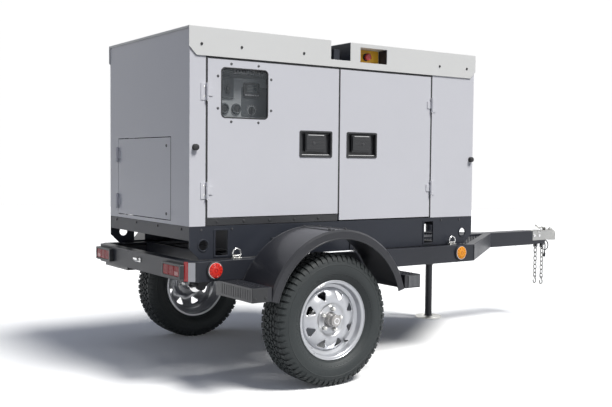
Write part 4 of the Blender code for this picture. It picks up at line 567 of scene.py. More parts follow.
def harness():
    """The trailer's wiring lead: one loose loop over the coupler's nose, hanging down to its plug."""
    exit_point = Vector((1.5978, 0.0, 0.584))
    offsets = [
        (0, -0.009, 0), (0.008, -0.009, 0), (0.021, -0.009, 0), (0.038, -0.010, -0.004),
        (0.055, -0.011, -0.013),
        (0.067, -0.011, -0.029), (0.071, -0.011, -0.050), (0.062, -0.010, -0.069), (0.046, -0.007, -0.078),
        (0.029, -0.003, -0.074), (0.020, 0.001, -0.058), (0.020, 0.006, -0.038), (0.029, 0.008, -0.022),
        (0.045, 0.009, -0.020), (0.058, 0.009, -0.033), (0.061, 0.008, -0.054), (0.056, 0.006, -0.080),
        (0.052, 0.005, -0.100),
    ]
    line = smooth_line([exit_point + Vector(offset) for offset in offsets], 0.006)
    jacket = surface("cord_jacket", (0.018, 0.019, 0.022), 0.48, vary=0.2, grain=600, bump=0.3, spread=0.08)
    shape = bmesh.new()
    sweep(shape, line, 0.004, 12)
    cord = show("harness_lead", shape, jacket)
    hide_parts("harness_cord")
    shape = bmesh.new()
    out = (line[1] - line[0]).normalized()
    sweep(shape, [line[0] - out * 0.002, line[0] + out * 0.006, line[0] + out * 0.012], 0.0052, 14)
    for k in range(4):
        sweep(shape, [line[0] + out * (0.001 + 0.003 * k), line[0] + out * (0.0025 + 0.003 * k)],
              0.0062 - 0.0003 * k, 14)
    strain = show("harness_strain_relief", shape, RUBBER)
    down = (line[-1] - line[-2]).normalized()
    place = facing(line[-1], down, (0, 1, 0))
    shape = bmesh.new()
    profile = [(0, -0.002), (0.0054, -0.002), (0.0058, 0.002), (0.0068, 0.005), (0.0068, 0.0075),
               (0.0092, 0.010), (0.0095, 0.012)]
    for k in range(5):
        profile += [(0.0095, 0.0135 + 0.003 * k), (0.0087, 0.0142 + 0.003 * k),
                    (0.0087, 0.0152 + 0.003 * k), (0.0095, 0.0158 + 0.003 * k)]
    profile += [(0.0095, 0.033), (0.0088, 0.034), (0.0070, 0.034), (0.0068, 0.031), (0, 0.031)]
    lathe(shape, profile, place, 28)
    plug = show("harness_connector", shape, PLASTIC, angle=28)
    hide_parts("harness_plug")
    shape = bmesh.new()
    for k in range(4):
        turn = TAU * (k + 0.5) / 4
        foot = Vector((0.0035 * math.cos(turn), 0.0035 * math.sin(turn), 0.030))
        bar(shape, place @ foot, place @ (foot + Vector((0, 0, 0.0038))), 0.0009, 10)
    pins = show("harness_connector_pins", shape, CHROME)


harness()

# ---------------------------------------------------------------- CAD nodes with softened edges and finishes


def dress_all():
    """Give every CAD piece its material and edge rounding."""
    fine = {"rear_shell": GREY, "front_shell": GREY, "roof": ROOF_GREY, "access_door": GREY}
    for side, _ in SIDES:
        for end in ("rear", "front"):
            fine[f"side_door_{side}_{end}"] = GREY
    for name, material in fine.items():
        dress(name, material, 0.0013)
    heavy = {"rear_bumper": BLACK, "tongue_beam": BLACK, "crossmember_front": BLACK,
             "crossmember_rear": BLACK,
             "axle_beam": BLACK, "skid_base": SKID_BLACK, "coupler": DULL_ZINC, "coupler_latch": DULL_ZINC,
             "jack_tube": BLACK,
             "jack_crank": ZINC, "lifting_frame": SKID_BLACK}
    for side, _ in SIDES:
        heavy |= {f"side_rail_{side}": BLACK, f"torsion_arm_{side}": BLACK, f"fender_{side}": FENDER_BLACK}
    for name, material in heavy.items():
        dress(name, material, 0.0018)
    plain_ones = {"fuel_tank": PLASTIC, "fuel_cap": PLASTIC, "engine_block": ENGINE,
                  "generator_housing": ALUMINIUM, "generator_rotor": STEEL, "crank_pulley": STEEL,
                  "cooling_fan": PLASTIC, "radiator": ALUMINIUM, "muffler": STEEL, "battery": PLASTIC,
                  "control_panel": PANEL_LIGHT, "selector_knob": PLASTIC, "stop_button": STOP_RED,
                  "window_pane": PANE}
    for side, _ in SIDES:
        plain_ones |= {f"safety_chain_{side}": CHAIN_STEEL, f"tail_lamp_{side}": RED_LENS,
                       f"wheel_hub_{side}": CHROME,
                       f"side_marker_{side}_rear": RED_ROUND, f"side_marker_{side}_front": AMBER_ROUND}
        for end in ("rear", "front"):
            plain_ones[f"latch_paddle_{side}_{end}"] = PLASTIC
    for name, material in plain_ones.items():
        for slot in NODES[name].material_slots:
            slot.material = material


dress_all()


# ---------------------------------------------------------------- enclosure details


def seals_and_gap_shade():
    """Black strips in the door gaps, partly rubber seals and partly painted shade that darkens the gaps: hinge-side
    gaps and roof gap on the frame, and edging and lips on the doors.
    """
    for name, side in SIDES:
        # partly rubber seal, partly painted shade: black blocks fill the hinge-side gaps and the roof gap so that
        # they read dark
        shape = bmesh.new()
        for x_span in ((REAR + 0.0915, REAR + 0.1022), (-0.0407, -0.0300)):
            side_block(shape, side, x_span, (HALF - 0.0016, HALF - 0.0305), (0.838, 1.690))
        side_block(shape, side, (REAR + 0.094, -0.0320), (HALF - 0.016, HALF - 0.0012), (1.6868, 1.6916))
        show(f"door_gap_seal_and_shade_{name}", shape, RUBBER, bevel=0.0008)
        shape = bmesh.new()
        # partly rubber edging, partly painted shade: a black strip at the split darkens the gap between the doors
        side_block(shape, side, (SPLIT - 0.0040, SPLIT + 0.0026), (HALF - 0.0200, HALF - 0.0010),
                   (0.874, 1.685))
        show(f"door_edge_seal_and_shade_{name}", shape, RUBBER, f"door_{name}_rear", bevel=0.0008)
        # painted shade: black strips on the doors' top edges, and on the rear door's split edge, draw the shadowed
        # gap lines
        lip = (HALF - 0.0060, HALF + 0.0006)
        for end, x_span in (("rear", (REAR + 0.105, SPLIT - 0.0045)), ("front", (SPLIT + 0.0045, -0.0430))):
            shape = bmesh.new()
            side_block(shape, side, x_span, lip, (1.6815, 1.6866))
            if end == "rear":
                side_block(shape, side, (SPLIT - 0.0072, SPLIT - 0.0038), lip, (0.874, 1.6866))
            show(f"door_gap_shade_strip_{name}_{end}", shape, RUBBER, f"door_{name}_{end}", bevel=0.0004)


def bumper_corners():
    """Plates that close the bumper's ends against the rails."""
    shape = bmesh.new()
    for side in (-1, 1):
        side_block(shape, side, (-1.6702, -1.6540), (0.5885, 0.6021), (0.5590, 0.6592))
    show("bumper_corner_plates", shape, BLACK, bevel=0.0020)


def access_door_details():
    """The rear service door's gap on its free side, drawn as a black strip of painted shade, and its two slotted
    fasteners.
    """
    # painted shade: a thin black strip on the rear face stands for the shadowed gap at the door's free side
    shape = bmesh.new()
    block(shape, (REAR - 0.0008, -0.3032, 0.852), (REAR + 0.0012, -0.2996, 1.284))
    show("access_door_gap_shade_line", shape, RUBBER, bevel=0.0004)
    shape = bmesh.new()
    profile = [(0, -0.001), (0.0085, -0.001), (0.0085, 0.0010), (0.0070, 0.0022), (0.0020, 0.0024),
               (0.0018, 0.0010), (0, 0.0010)]
    for z in (0.884, 1.240):
        place = facing((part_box("access_door")[0][0], -0.286, z), (-1, 0, 0))
        lathe(shape, profile, place, 20)
        block(shape, (-0.0052, -0.0009, 0.0018), (0.0052, 0.0009, 0.0030), place)
    show("access_door_fasteners", shape, BLACKENED, BODY_OF["access_door"], angle=40)


def roof_fixings():
    """Rubber plugs along the roof's flange, and the screws in its top."""
    for name, side in SIDES:
        shape = bmesh.new()
        for x in (-1.6035, -1.3705, -0.9795, 0.0225, 0.2525):
            place = facing((x, side * FLANGE_Y, 1.750), (0, side, 0))
            lathe(shape, [(0, -0.002), (0.0062, -0.002), (0.0075, 0.0008), (0.0070, 0.0026),
                          (0.0046, 0.0036), (0.0040, 0.0024), (0, 0.0022)], place, 18)
        show(f"roof_plugs_{name}", shape, RUBBER, angle=50)
        shape = bmesh.new()
        for x in (-1.46, -1.10, -0.12, 0.16):
            screw_head(shape, facing((x, side * (HALF - 0.06), TOP), (0, 0, 1)), 0.006, 0.003)
        show(f"roof_screws_{name}", shape, ZINC)
    shape = bmesh.new()
    for x in (-1.60, -1.30, -1.00, -0.36, -0.06, 0.25):
        for y in (-0.30, 0.0, 0.30):
            screw_head(shape, facing((x, y, TOP), (0, 0, 1)), 0.006, 0.003)
    show("roof_top_screws", shape, ZINC)


def hinge_dress():
    """Screws on each door hinge's leaves, and the pin's domed ends."""
    for name, side in SIDES:
        pins = bmesh.new()
        for x in (REAR_HINGE, FRONT_HINGE):
            for z in HINGE_ZS:
                for way in (-1, 1):
                    place = facing((x, side * 0.5225, z + way * 0.0445 - way * 0.0005), (0, 0, way))
                    lathe(pins, [(0, 0.0), (0.0055, 0.0), (0.0052, 0.0016), (0.003, 0.0026), (0, 0.003)],
                          place, 14)
        show(f"hinge_pins_{name}", pins, CHROME, angle=50)
        screws = bmesh.new()
        for x in (REAR + 0.082, -0.0210):
            for z in HINGE_ZS:
                for lift in (-0.024, 0.024):
                    screw_head(screws, side_place(x, z + lift, side, 0.0024), 0.0034, 0.0018)
        show(f"hinge_screws_{name}", screws, ZINC, angle=40)


def door_stops():
    """Rubber knobs that an open door comes to rest on."""
    profile = [(0, -0.002), (0.0165, -0.002), (0.0165, 0.001), (0.0090, 0.0025), (0.0082, 0.006),
               (0.0146, 0.010),
               (0.0164, 0.015), (0.0150, 0.0195), (0.009, 0.0220), (0, 0.0225)]
    for name, side in SIDES:
        shape = bmesh.new()
        for x, z in ((-1.6365, 1.231), (0.3015, 1.186)):
            lathe(shape, profile, side_place(x, z, side), 24)
        show(f"door_stop_knobs_{name}", shape, RUBBER, angle=50)


def lower_strip():
    """Black sill strip below the rear doors, with its rolled lip."""
    for name, side in SIDES:
        shape = bmesh.new()
        side_block(shape, side, (REAR + 0.094, SPLIT - 0.006), (HALF - 0.0050, HALF - 0.0022),
                   (0.832, 0.8685))
        for k in range(5):
            hex_bolt(shape, side_place(REAR + 0.16 + k * 0.16, 0.850, side, -0.0022), 0.0062, 0.0042)
        y = side * (HALF - 0.004)
        sweep(shape, [(REAR + 0.096, y, 0.8675), (SPLIT - 0.008, y, 0.8675)], 0.0016, 8)
        show(f"rear_door_sill_{name}", shape, PLASTIC, bevel=0.0006)


def latch_dress(name, side, end, x):
    """Frame, liner and bright lower edge of one latch's recess in its door."""
    half_w, half_h = 0.105, 0.068
    door = f"door_{name}_{end}"
    shape = bmesh.new()
    outer = rounded(-half_w - 0.005, -half_h - 0.005, half_w + 0.005, half_h + 0.005, 0.009)
    inner = rounded(-half_w + 0.004, -half_h + 0.004, half_w - 0.004, half_h - 0.004, 0.005)
    outline_sheet(shape, outer, [inner], side_place(x, LATCH_Z, side, 0.0002), 0.0030)

    def lining(u_span, y_span, v_span):
        side_block(shape, side, [x + u for u in u_span], y_span, [LATCH_Z + v for v in v_span])

    wall = (HALF - 0.0214, HALF + 0.0010)
    for mark in (-1, 1):
        u, v = mark * (half_w - 0.0032), mark * (half_h - 0.0032)
        lining((u - 0.0022, u + 0.0022), wall, (-half_h + 0.002, half_h - 0.002))
        lining((-half_w + 0.002, half_w - 0.002), wall, (v - 0.0022, v + 0.0022))
    lining((-half_w + 0.003, half_w - 0.003), (HALF - 0.0212, HALF - 0.0202),
           (-half_h + 0.003, half_h - 0.003))
    show(f"latch_frame_{name}_{end}", shape, PLASTIC, door, bevel=0.0009)
    shape = bmesh.new()
    lining((-half_w + 0.012, half_w - 0.012), (HALF - 0.0036, HALF - 0.0010),
           (-half_h + 0.0075, -half_h + 0.0115))
    show(f"latch_lower_edge_{name}_{end}", shape, CHROME, door, bevel=0.0008)


def paddle_dress(name, side, end, x):
    """Ribbed grip, bright upper edge and lock barrel of one latch paddle."""
    body = f"latch_{name}_{end}"
    low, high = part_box(f"latch_paddle_{name}_{end}")
    place = facing((x, high[1] if side > 0 else low[1], 1.272), (0, side, 0))
    shape = bmesh.new()
    outline_sheet(shape, rounded(-0.064, -0.044, 0.064, 0.040, 0.006), [], moved(place, 0, 0, 0.0002),
                  0.0016)
    for k in range(9):
        z = -0.036 + 0.008 * k
        block(shape, (-0.056, z - 0.0013, 0.0012), (0.056, z + 0.0013, 0.0027), place)
    show(f"latch_paddle_grip_{name}_{end}", shape, PLASTIC, body, bevel=0.0006)
    shape = bmesh.new()
    block(shape, (-0.054, 0.0358, 0.0022), (0.054, 0.0394, 0.0042), place)
    show(f"latch_paddle_edge_{name}_{end}", shape, CHROME, body, bevel=0.0008)
    shape = bmesh.new()
    profile = [(0, 0.0010), (0.0082, 0.0010), (0.0082, 0.0042), (0.0070, 0.0050), (0.0016, 0.0050),
               (0.0014, 0.0030), (0, 0.0030)]
    lathe(shape, profile, moved(place, (0.014 if end == "rear" else -0.010) * side, -0.006, 0), 24)
    show(f"latch_lock_{name}_{end}", shape, BLACKENED, body)


def latches():
    """The trim of all four door latches."""
    for name, side in SIDES:
        for end, x in LATCH_XS.items():
            latch_dress(name, side, end, x)
            paddle_dress(name, side, end, x)


def window():
    """Rubber edging round the inspection window, and its retaining screws."""
    (x0, x1), (z0, z1) = WINDOW_X, WINDOW_Z
    half_x, half_z = (x1 - x0) / 2, (z1 - z0) / 2
    place = side_place((x0 + x1) / 2, (z0 + z1) / 2, -1)
    shape = bmesh.new()
    outer = rounded(-half_x - 0.002, -half_z - 0.002, half_x + 0.002, half_z + 0.002, 0.024, 8)
    inner = rounded(-half_x + 0.004, -half_z + 0.004, half_x - 0.004, half_z - 0.004, 0.018, 8)
    outline_sheet(shape, outer, [inner], moved(place, 0, 0, -0.0012), 0.0026)
    show("window_edging", shape, RUBBER, "door_right_rear", bevel=0.0008)
    shape = bmesh.new()
    spots = [(u, v) for u in (-0.082, 0.082) for v in (-half_z - 0.020, half_z + 0.020)]
    spots += [(u, v) for u in (-half_x - 0.020, half_x + 0.020) for v in (-0.082, 0.082)]
    for u, v in spots:
        screw_head(shape, moved(place, u, v, 0), 0.0054, 0.0030)
    show("window_screws", shape, BLACKENED, "door_right_rear", angle=40)


def socket_face(shape, ring, place):
    """An outlet's round insert with its three slots, and the raised ring about it."""
    lathe(ring, [(0.024, -0.001), (0.029, -0.001), (0.029, 0.005), (0.0265, 0.009), (0.0225, 0.010),
                 (0.0200, 0.008), (0.0200, 0.003)], place, 32)
    lathe(shape, [(0, 0.0012), (0.0215, 0.0012), (0.0215, 0.0034), (0, 0.0034)], place, 32)
    for k in range(3):
        slot = moved(spun(place, TAU * k / 3 + 0.5), 0.0115, 0, 0.0034)
        block(shape, (-0.0014, -0.0042, -0.0004), (0.0014, 0.0042, 0.0012), slot)


def panel():
    """The control panel: its box, plates, breakers, outlets, controller with its screen, and the selector's marks."""
    low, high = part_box("control_panel")

    def at(x, z, lift=0.0):
        return facing((x, PANEL_FACE - lift, z), (0, -1, 0))

    shape = bmesh.new()
    block(shape, (low[0], PANEL_FACE, low[2]), high)
    plate(shape, at(-1.4010, 1.501, 0.0002), 0.256, 0.164, 0.006, 0.0016)
    box = show("panel_box", shape, PANEL_LIGHT, bevel=0.0008)
    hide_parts("control_panel")
    shape = bmesh.new()
    outline_sheet(shape, rounded(-0.056, -0.062, 0.108, 0.094, 0.006), [], at(-1.2640, 1.462, 0.0016),
                  0.0022)
    plate(shape, at(-1.4060, 1.545, 0.0016), 0.036, 0.054, 0.004, 0.0080)
    plate(shape, at(-1.4010, 1.613, 0.0016), 0.250, 0.013, 0.003, 0.0016)
    plate(shape, at(-1.4010, 1.655, 0.0016), 0.250, 0.012, 0.003, 0.0016)
    show("panel_plates", shape, PANEL_DARK, bevel=0.0008)
    narrow = [at(-1.3600 + 0.0195 * k, 1.634, 0.0016) for k in range(4)]
    wide = [at(-1.2560 + 0.028 * k, 1.634, 0.0016) for k in range(3)]
    shape = bmesh.new()
    for place in narrow:
        block(shape, (-0.0092, -0.014, 0), (0.0092, 0.014, 0.012), place)
    for place in wide:
        block(shape, (-0.0130, -0.014, 0), (0.0130, 0.014, 0.009), place)
    show("panel_breakers", shape, TAPE_GREY, bevel=0.0012)
    shape = bmesh.new()
    for place in narrow:
        block(shape, (-0.0030, -0.004, 0.0115), (0.0030, 0.006, 0.0185), place)
    for place in wide:
        block(shape, (-0.0085, -0.006, 0.0085), (0.0085, 0.006, 0.0110), place)
    block(shape, (-0.010, -0.026, 0.0090), (0.010, 0.004, 0.0170), at(-1.4060, 1.545, 0.0016))
    show("panel_toggles", shape, PLASTIC, bevel=0.0009)
    shape = bmesh.new()
    opening = rounded(-0.031, -0.018, 0.031, 0.024, 0.002)
    bezel = rounded(-0.048, -0.040, 0.048, 0.034, 0.005)
    outline_sheet(shape, bezel, [opening], at(-1.2600, 1.545, 0.0018), 0.0105)
    show("controller_bezel", shape, PLASTIC, bevel=0.0010)
    shape = bmesh.new()
    outline_sheet(shape, rounded(-0.0318, -0.0188, 0.0318, 0.0248, 0.002), [], at(-1.2600, 1.545, 0.0020),
                  0.0066)
    show("controller_screen", shape, SCREEN, bevel=0.0004)
    shape = bmesh.new()
    for k in range(6):
        plate(shape, at(-1.2970 + 0.0148 * k, 1.5135, 0.0122), 0.0050, 0.0034, 0.0016, 0.0016)
    for k in range(5):
        block(shape, (-0.026, -0.0007, 0), (0.026 - 0.006 * (k % 3), 0.0007, 0.0003),
              at(-1.2600, 1.5335 + 0.0078 * k, 0.0087))
    show("controller_keys", shape, TAPE_GREY, bevel=0.0003)
    shape, ring = bmesh.new(), bmesh.new()
    for x in (-1.4240, -1.3510):
        socket_face(shape, ring, at(x, 1.438, 0.0016))
    show("outlet_inserts", shape, PLASTIC, angle=40)
    show("outlet_rings", ring, PANEL_DARK, angle=40)
    shape = bmesh.new()
    for k in range(7):
        mark = moved(spun(at(-1.2575, 1.432, 0.0040), math.radians(-75 + 25 * k)), 0, 0.0290, 0)
        block(shape, (-0.0011, -0.0040, 0), (0.0011, 0.0040, 0.0008), mark)
    ring = [(0.0225, 0.0), (0.0245, 0.0), (0.0245, 0.0012), (0.0225, 0.0012)]
    lathe(shape, ring, at(-1.2575, 1.432, 0.0038), 36, closed=True)
    show("selector_scale", shape, TAPE_GREY, bevel=0.0002)
    shape = bmesh.new()
    for x in (-1.648, -1.153):
        for z in (1.343, 1.501, 1.659):
            screw_head(shape, at(x, z, 0.0018), 0.0038, 0.0022)
    show("panel_screws", shape, ZINC, angle=40)


def stop_station():
    """Yellow plate, dark pocket ends painted as shade on the pocket's side walls, and collar of the emergency stop,
    and its mushroom head.
    """
    low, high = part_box("stop_button")
    x, z = (low[0] + high[0]) / 2, (low[2] + high[2]) / 2
    place = facing((x, STOP_BACK, z), (0, -1, 0))
    shape = bmesh.new()
    outline = rounded(-0.094, -0.040, 0.094, 0.040, 0.004)
    outline_sheet(shape, outline, [circle(0.0135, 24)], moved(place, 0, 0, 0.0004), 0.0018)
    show("stop_plate", shape, YELLOW, bevel=0.0006)
    # painted shade: thin black sheets on the pocket's two side walls stand for the shade in the recess
    shape = bmesh.new()
    for end in (-0.5898, -0.3966):
        block(shape, (end, -HALF - 0.003, 1.7312), (end + 0.0014, -0.4440, 1.8128))
    show("stop_pocket_wall_shade", shape, SKID_BLACK, bevel=0.0004)
    shape = bmesh.new()
    lathe(shape, [(0.0140, 0.0022), (0.0215, 0.0022), (0.0225, 0.0035), (0.0215, 0.0060), (0.0140, 0.0060)],
          place, 40, closed=True)
    show("stop_collar", shape, PLASTIC, angle=40)
    reach = STOP_BACK - low[1]
    dome = [(0.0105, 0.0170), (0.0120, 0.0165), (0.0190, 0.0140), (0.0207, 0.0110), (0.0209, 0.0080),
            (0.0195, 0.0040), (0.0160, 0.0015), (0.0100, 0.0003), (0, 0)]
    shape = bmesh.new()
    lathe(shape, [(0, -0.004), (0.0105, -0.004)] + [(radius, reach - below) for radius, below in dome],
          place, 48)
    head = show("stop_head", shape, STOP_RED, "stop_button", angle=50)
    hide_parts("stop_button")


def trough_wall_shade():
    """Dark sheets on the walls of the lifting trough: painted shade for the trough's shadowed walls."""
    # painted shade: thin black sheets darken both walls of the trough
    shape = bmesh.new()
    y = HALF + 0.0040
    for x in (-0.7972, -0.6632):
        block(shape, (x, -y, 1.7330), (x + 0.0014, y, 1.8330))
    show("trough_wall_painted_shade", shape, SKID_BLACK, bevel=0.0005)


seals_and_gap_shade()
bumper_corners()
access_door_details()
roof_fixings()
hinge_dress()
door_stops()
lower_strip()
latches()
window()
panel()
stop_station()
trough_wall_shade()


# ---------------------------------------------------------------- wheels


def wheel_place(side):
    """Wheel frame: local Z points outward along the axle."""
    return Matrix.Translation((AXLE.x, side * TRACK, AXLE.z)) @ Matrix.Rotation(-side * math.pi / 2, 4, "X")


def polar(radius, angle, height):
    """A point of a wheel, in the wheel's own frame."""
    return Vector((radius * math.cos(angle), radius * math.sin(angle), height))


def prism(shape, outline, top, bottom, place, lean):
    """A tread block: an outline of (angle, width position) between two radii, narrower at its top."""
    angle = sum(a for a, _ in outline) / len(outline)
    height = sum(h for _, h in outline) / len(outline)
    upper = [shape.verts.new(place @ polar(top, angle + (a - angle) * lean, height + (h - height) * lean))
             for a, h in outline]
    lower = [shape.verts.new(place @ polar(bottom, a, h)) for a, h in outline]
    shape.faces.new(upper)
    for i in range(len(outline)):
        j = (i + 1) % len(outline)
        shape.faces.new((upper[j], upper[i], lower[i], lower[j]))
    shape.faces.new(lower[::-1])


def carcass_profile():
    """The tyre's section as (radius, width position), with its rim ribs and side wall rings."""
    outside = [(0.1925, 0.0705), (0.1990, 0.0735), (0.2080, 0.0760), (0.2105, 0.0775), (0.2160, 0.0790),
               (0.2175, 0.0812),
               (0.2200, 0.0815), (0.2215, 0.0835), (0.2320, 0.0905), (0.2420, 0.0955), (0.2436, 0.0972),
               (0.2462, 0.0972),
               (0.2478, 0.0982), (0.2560, 0.1005), (0.2680, 0.1013), (0.2800, 0.1010), (0.2880, 0.1002),
               (0.2896, 0.1012),
               (0.2922, 0.1010), (0.2936, 0.0994), (0.3020, 0.0974), (0.3120, 0.0940), (0.3200, 0.0900),
               (0.3270, 0.0845),
               (0.3320, 0.0770), (0.3345, 0.0640), (0.3352, 0.0420), (0.3354, 0.0)]
    inside = [(0.3240, 0.0), (0.3235, 0.0620), (0.3120, 0.0820), (0.2700, 0.0930), (0.2300, 0.0800),
              (0.1925, 0.0580)]
    return outside + [(r, -h) for r, h in reversed(outside[:-1])] + [(r, -h) for r,
                                                                     h in reversed(inside)] + inside[1:]


def tread(shape, place, rng):
    """All-terrain tread: a zigzag pair of middle rows, two outer rows, shoulder blocks and shoulder lugs."""
    step = TAU / 62
    middle = [(0.08, 0.0020), (0.62, 0.0045), (0.80, 0.0150), (0.58, 0.0215), (0.02, 0.0190),
              (-0.10, 0.0100)]
    outer = [(0.05, 0.0245), (0.70, 0.0265), (0.78, 0.0400), (0.45, 0.0465), (0.02, 0.0440), (0.14, 0.0340)]
    for k in range(62):
        base = step * k + rng.uniform(-0.03, 0.03) * step
        long = 0.0800 if k % 2 else 0.0760
        shoulder = [(0.04, 0.0500), (0.70, 0.0485), (0.76, long), (0.02, long)]
        for mark in (-1, 1):
            for outline, shifts, top, bottom, lean in ((middle, (0.0, 0.5), 0.3438, 0.3330, 0.94),
                                                       (outer, (0.68, 0.18), 0.3432, 0.3325, 0.94),
                                                       (shoulder, (0.10, 0.40), 0.3415, 0.3230, 0.97)):
                shift = base + shifts[mark > 0] * step
                turned = [(shift + a * step, mark * height) for a, height in outline]
                prism(shape, turned, top, bottom, place, lean)
            radii = [(0.3390, 0.0760), (0.3330, 0.0860), (0.3240, 0.0925),
                     (0.3125 if k % 2 else 0.3060, 0.0970)]
            edges = []
            for radius, height in radii:
                edges.append([shape.verts.new(place @ polar(radius, shift + a * step,
                                                            mark * (height + lift)))
                              for a, lift in ((0.06, -0.006), (0.10, 0.0016), (0.70, 0.0016),
                                              (0.74, -0.006))])
            for a, b in zip(edges, edges[1:]):
                for i in range(3):
                    shape.faces.new((a[i], a[i + 1], b[i + 1], b[i]))
            for end in (edges[0], edges[-1]):
                shape.faces.new(end)


def tyre(name, side):
    """Carcass, tread and the row of small ticks on each side wall."""
    place = wheel_place(side)
    shape = bmesh.new()
    lathe(shape, carcass_profile(), place, 144, closed=True)
    carcass = show(f"tyre_carcass_{name}", shape, TYRE, f"wheel_{name}", angle=32)
    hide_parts(f"tyre_{name}")
    shape = bmesh.new()
    tread(shape, place, random.Random(7))
    show(f"tyre_tread_{name}", shape, TYRE, f"wheel_{name}", angle=30)
    shape = bmesh.new()
    for mark in (-1, 1):
        for k in range(72):
            tick = moved(spun(place, TAU * k / 72), 0.2385, 0, mark * 0.0937) @ Matrix.Rotation(mark * 0.50,
                                                                                                4, "Y")
            block(shape, (-0.0032, -0.0012, -0.0010), (0.0032, 0.0012, 0.0010), tick)
    show(f"tyre_ticks_{name}", shape, TYRE, f"wheel_{name}")


WINDOW_IN, WINDOW_OUT = 0.110, 0.153      # radii between which the wheel disc has its windows


def window_half(radius):
    """Half the angle of a wheel window at a radius: a triangle with its broad side outward."""
    t = (radius - WINDOW_IN) / (WINDOW_OUT - WINDOW_IN)
    return math.radians(2.2 + 9.6 * t - 5.0 * max(0.0, t - 0.78) ** 2 * 20) * (1 if 0 <= t <= 1 else 0)


def disc_height(radius, spoke):
    """How far out the wheel disc stands at a radius, raised where a spoke is."""
    knots = [(0.034, 0.0535), (0.072, 0.0535), (0.079, 0.0555), (0.086, 0.0630), (0.094, 0.0660),
             (0.112, 0.0640),
             (0.132, 0.0560), (0.150, 0.0455), (0.160, 0.0400), (0.1665, 0.0345), (0.1672, 0.0240)]
    for (r0, h0), (r1, h1) in zip(knots, knots[1:]):
        if radius <= r1:
            base = h0 + (h1 - h0) * (radius - r0) / (r1 - r0)
            break
    else:
        base = knots[-1][1]
    swell = max(0.0, 1 - abs((radius - 0.128) / 0.032) ** 2)
    return base + 0.0055 * swell * spoke


def wheel_disc(name, side):
    """Pressed disc with eight windows, and the rim's barrel with its balance weights."""
    place = wheel_place(side)
    shape = bmesh.new()
    radii = [0.034, 0.046, 0.058, 0.068, 0.074, 0.079, 0.083, 0.087, 0.092, 0.098, 0.104, 0.110, 0.114,
             0.119, 0.125, 0.131,
             0.137, 0.142, 0.146, 0.150, 0.153, 0.157, 0.161, 0.1650, 0.1668, 0.1672]
    sector = TAU / 8
    grid = []
    for radius in radii:
        row = []
        for k in range(8):
            centre = sector * (k + 0.5)
            half = window_half(min(max(radius, WINDOW_IN + 0.0001), WINDOW_OUT - 0.0001))
            inside = [centre + half * f for f in (-1, -0.5, 0, 0.5, 1)]
            room = sector / 2 - half
            spokes = [centre + half + room * 2 * f for f in (0.12, 0.3, 0.5, 0.7, 0.88)]
            for angle in inside + spokes:
                away = abs(((angle - centre + sector / 2) % sector) - sector / 2) / (sector / 2)
                spoke = 0.5 - 0.5 * math.cos(math.pi * min(1, away))
                row.append(shape.verts.new(place @ polar(radius, angle, disc_height(radius, spoke))))
        grid.append(row)
    count = len(grid[0])
    for i, (a, b) in enumerate(zip(grid, grid[1:])):
        in_window = WINDOW_IN < (radii[i] + radii[i + 1]) / 2 < WINDOW_OUT
        for k in range(count):
            if in_window and k % 10 < 4:
                continue
            shape.faces.new((a[k], b[k], b[(k + 1) % count], a[(k + 1) % count]))
    disc = show(f"wheel_disc_{name}", shape, RIM, f"wheel_{name}", angle=50)
    thick = disc.modifiers.new("Solidify", "SOLIDIFY")
    thick.thickness, thick.offset = 0.0032, -1
    rim = bmesh.new()
    half = 0.076
    outside = [(0.2060, 0.0050), (0.2082, 0.0038), (0.2088, 0.0010), (0.2075, -0.0010), (0.1990, -0.0012),
               (0.1945, -0.0030), (0.1915, -0.0080), (0.1900, -0.0280), (0.1870, -0.0330)]
    inside = [(0.2040, 0.0036), (0.2040, 0.0016), (0.1960, 0.0010), (0.1910, -0.0020), (0.1880, -0.0080),
              (0.1866, -0.0280)]
    outer = [(r, half + h) for r, h in outside + [(0.1700, -0.0400), (0.1685, -0.0440)]]
    outer += [(0.1685, -half + 0.0500)] + [(r, -half - h) for r, h in outside[::-1]]
    inner = [(r, -half - h) for r, h in inside] + [(0.1650, -half + 0.0515)]
    inner += [(r, half + h) for r,
              h in [(0.1650, -0.0455), (0.1668, -0.0415), (0.1840, -0.0335)] + inside[::-1]]
    lathe(rim, outer + inner, place, 128, closed=True)
    show(f"wheel_barrel_{name}", rim, RIM, f"wheel_{name}", angle=38)
    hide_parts(f"wheel_rim_{name}")
    weights = bmesh.new()
    for k in range(3):
        block(weights, (0.1935, -0.0065, half + 0.0006), (0.2030, 0.0065, half + 0.0046),
              spun(place, 1.9 + 0.075 * k))
    show(f"wheel_weights_{name}", weights, ZINC, f"wheel_{name}", bevel=0.0010)


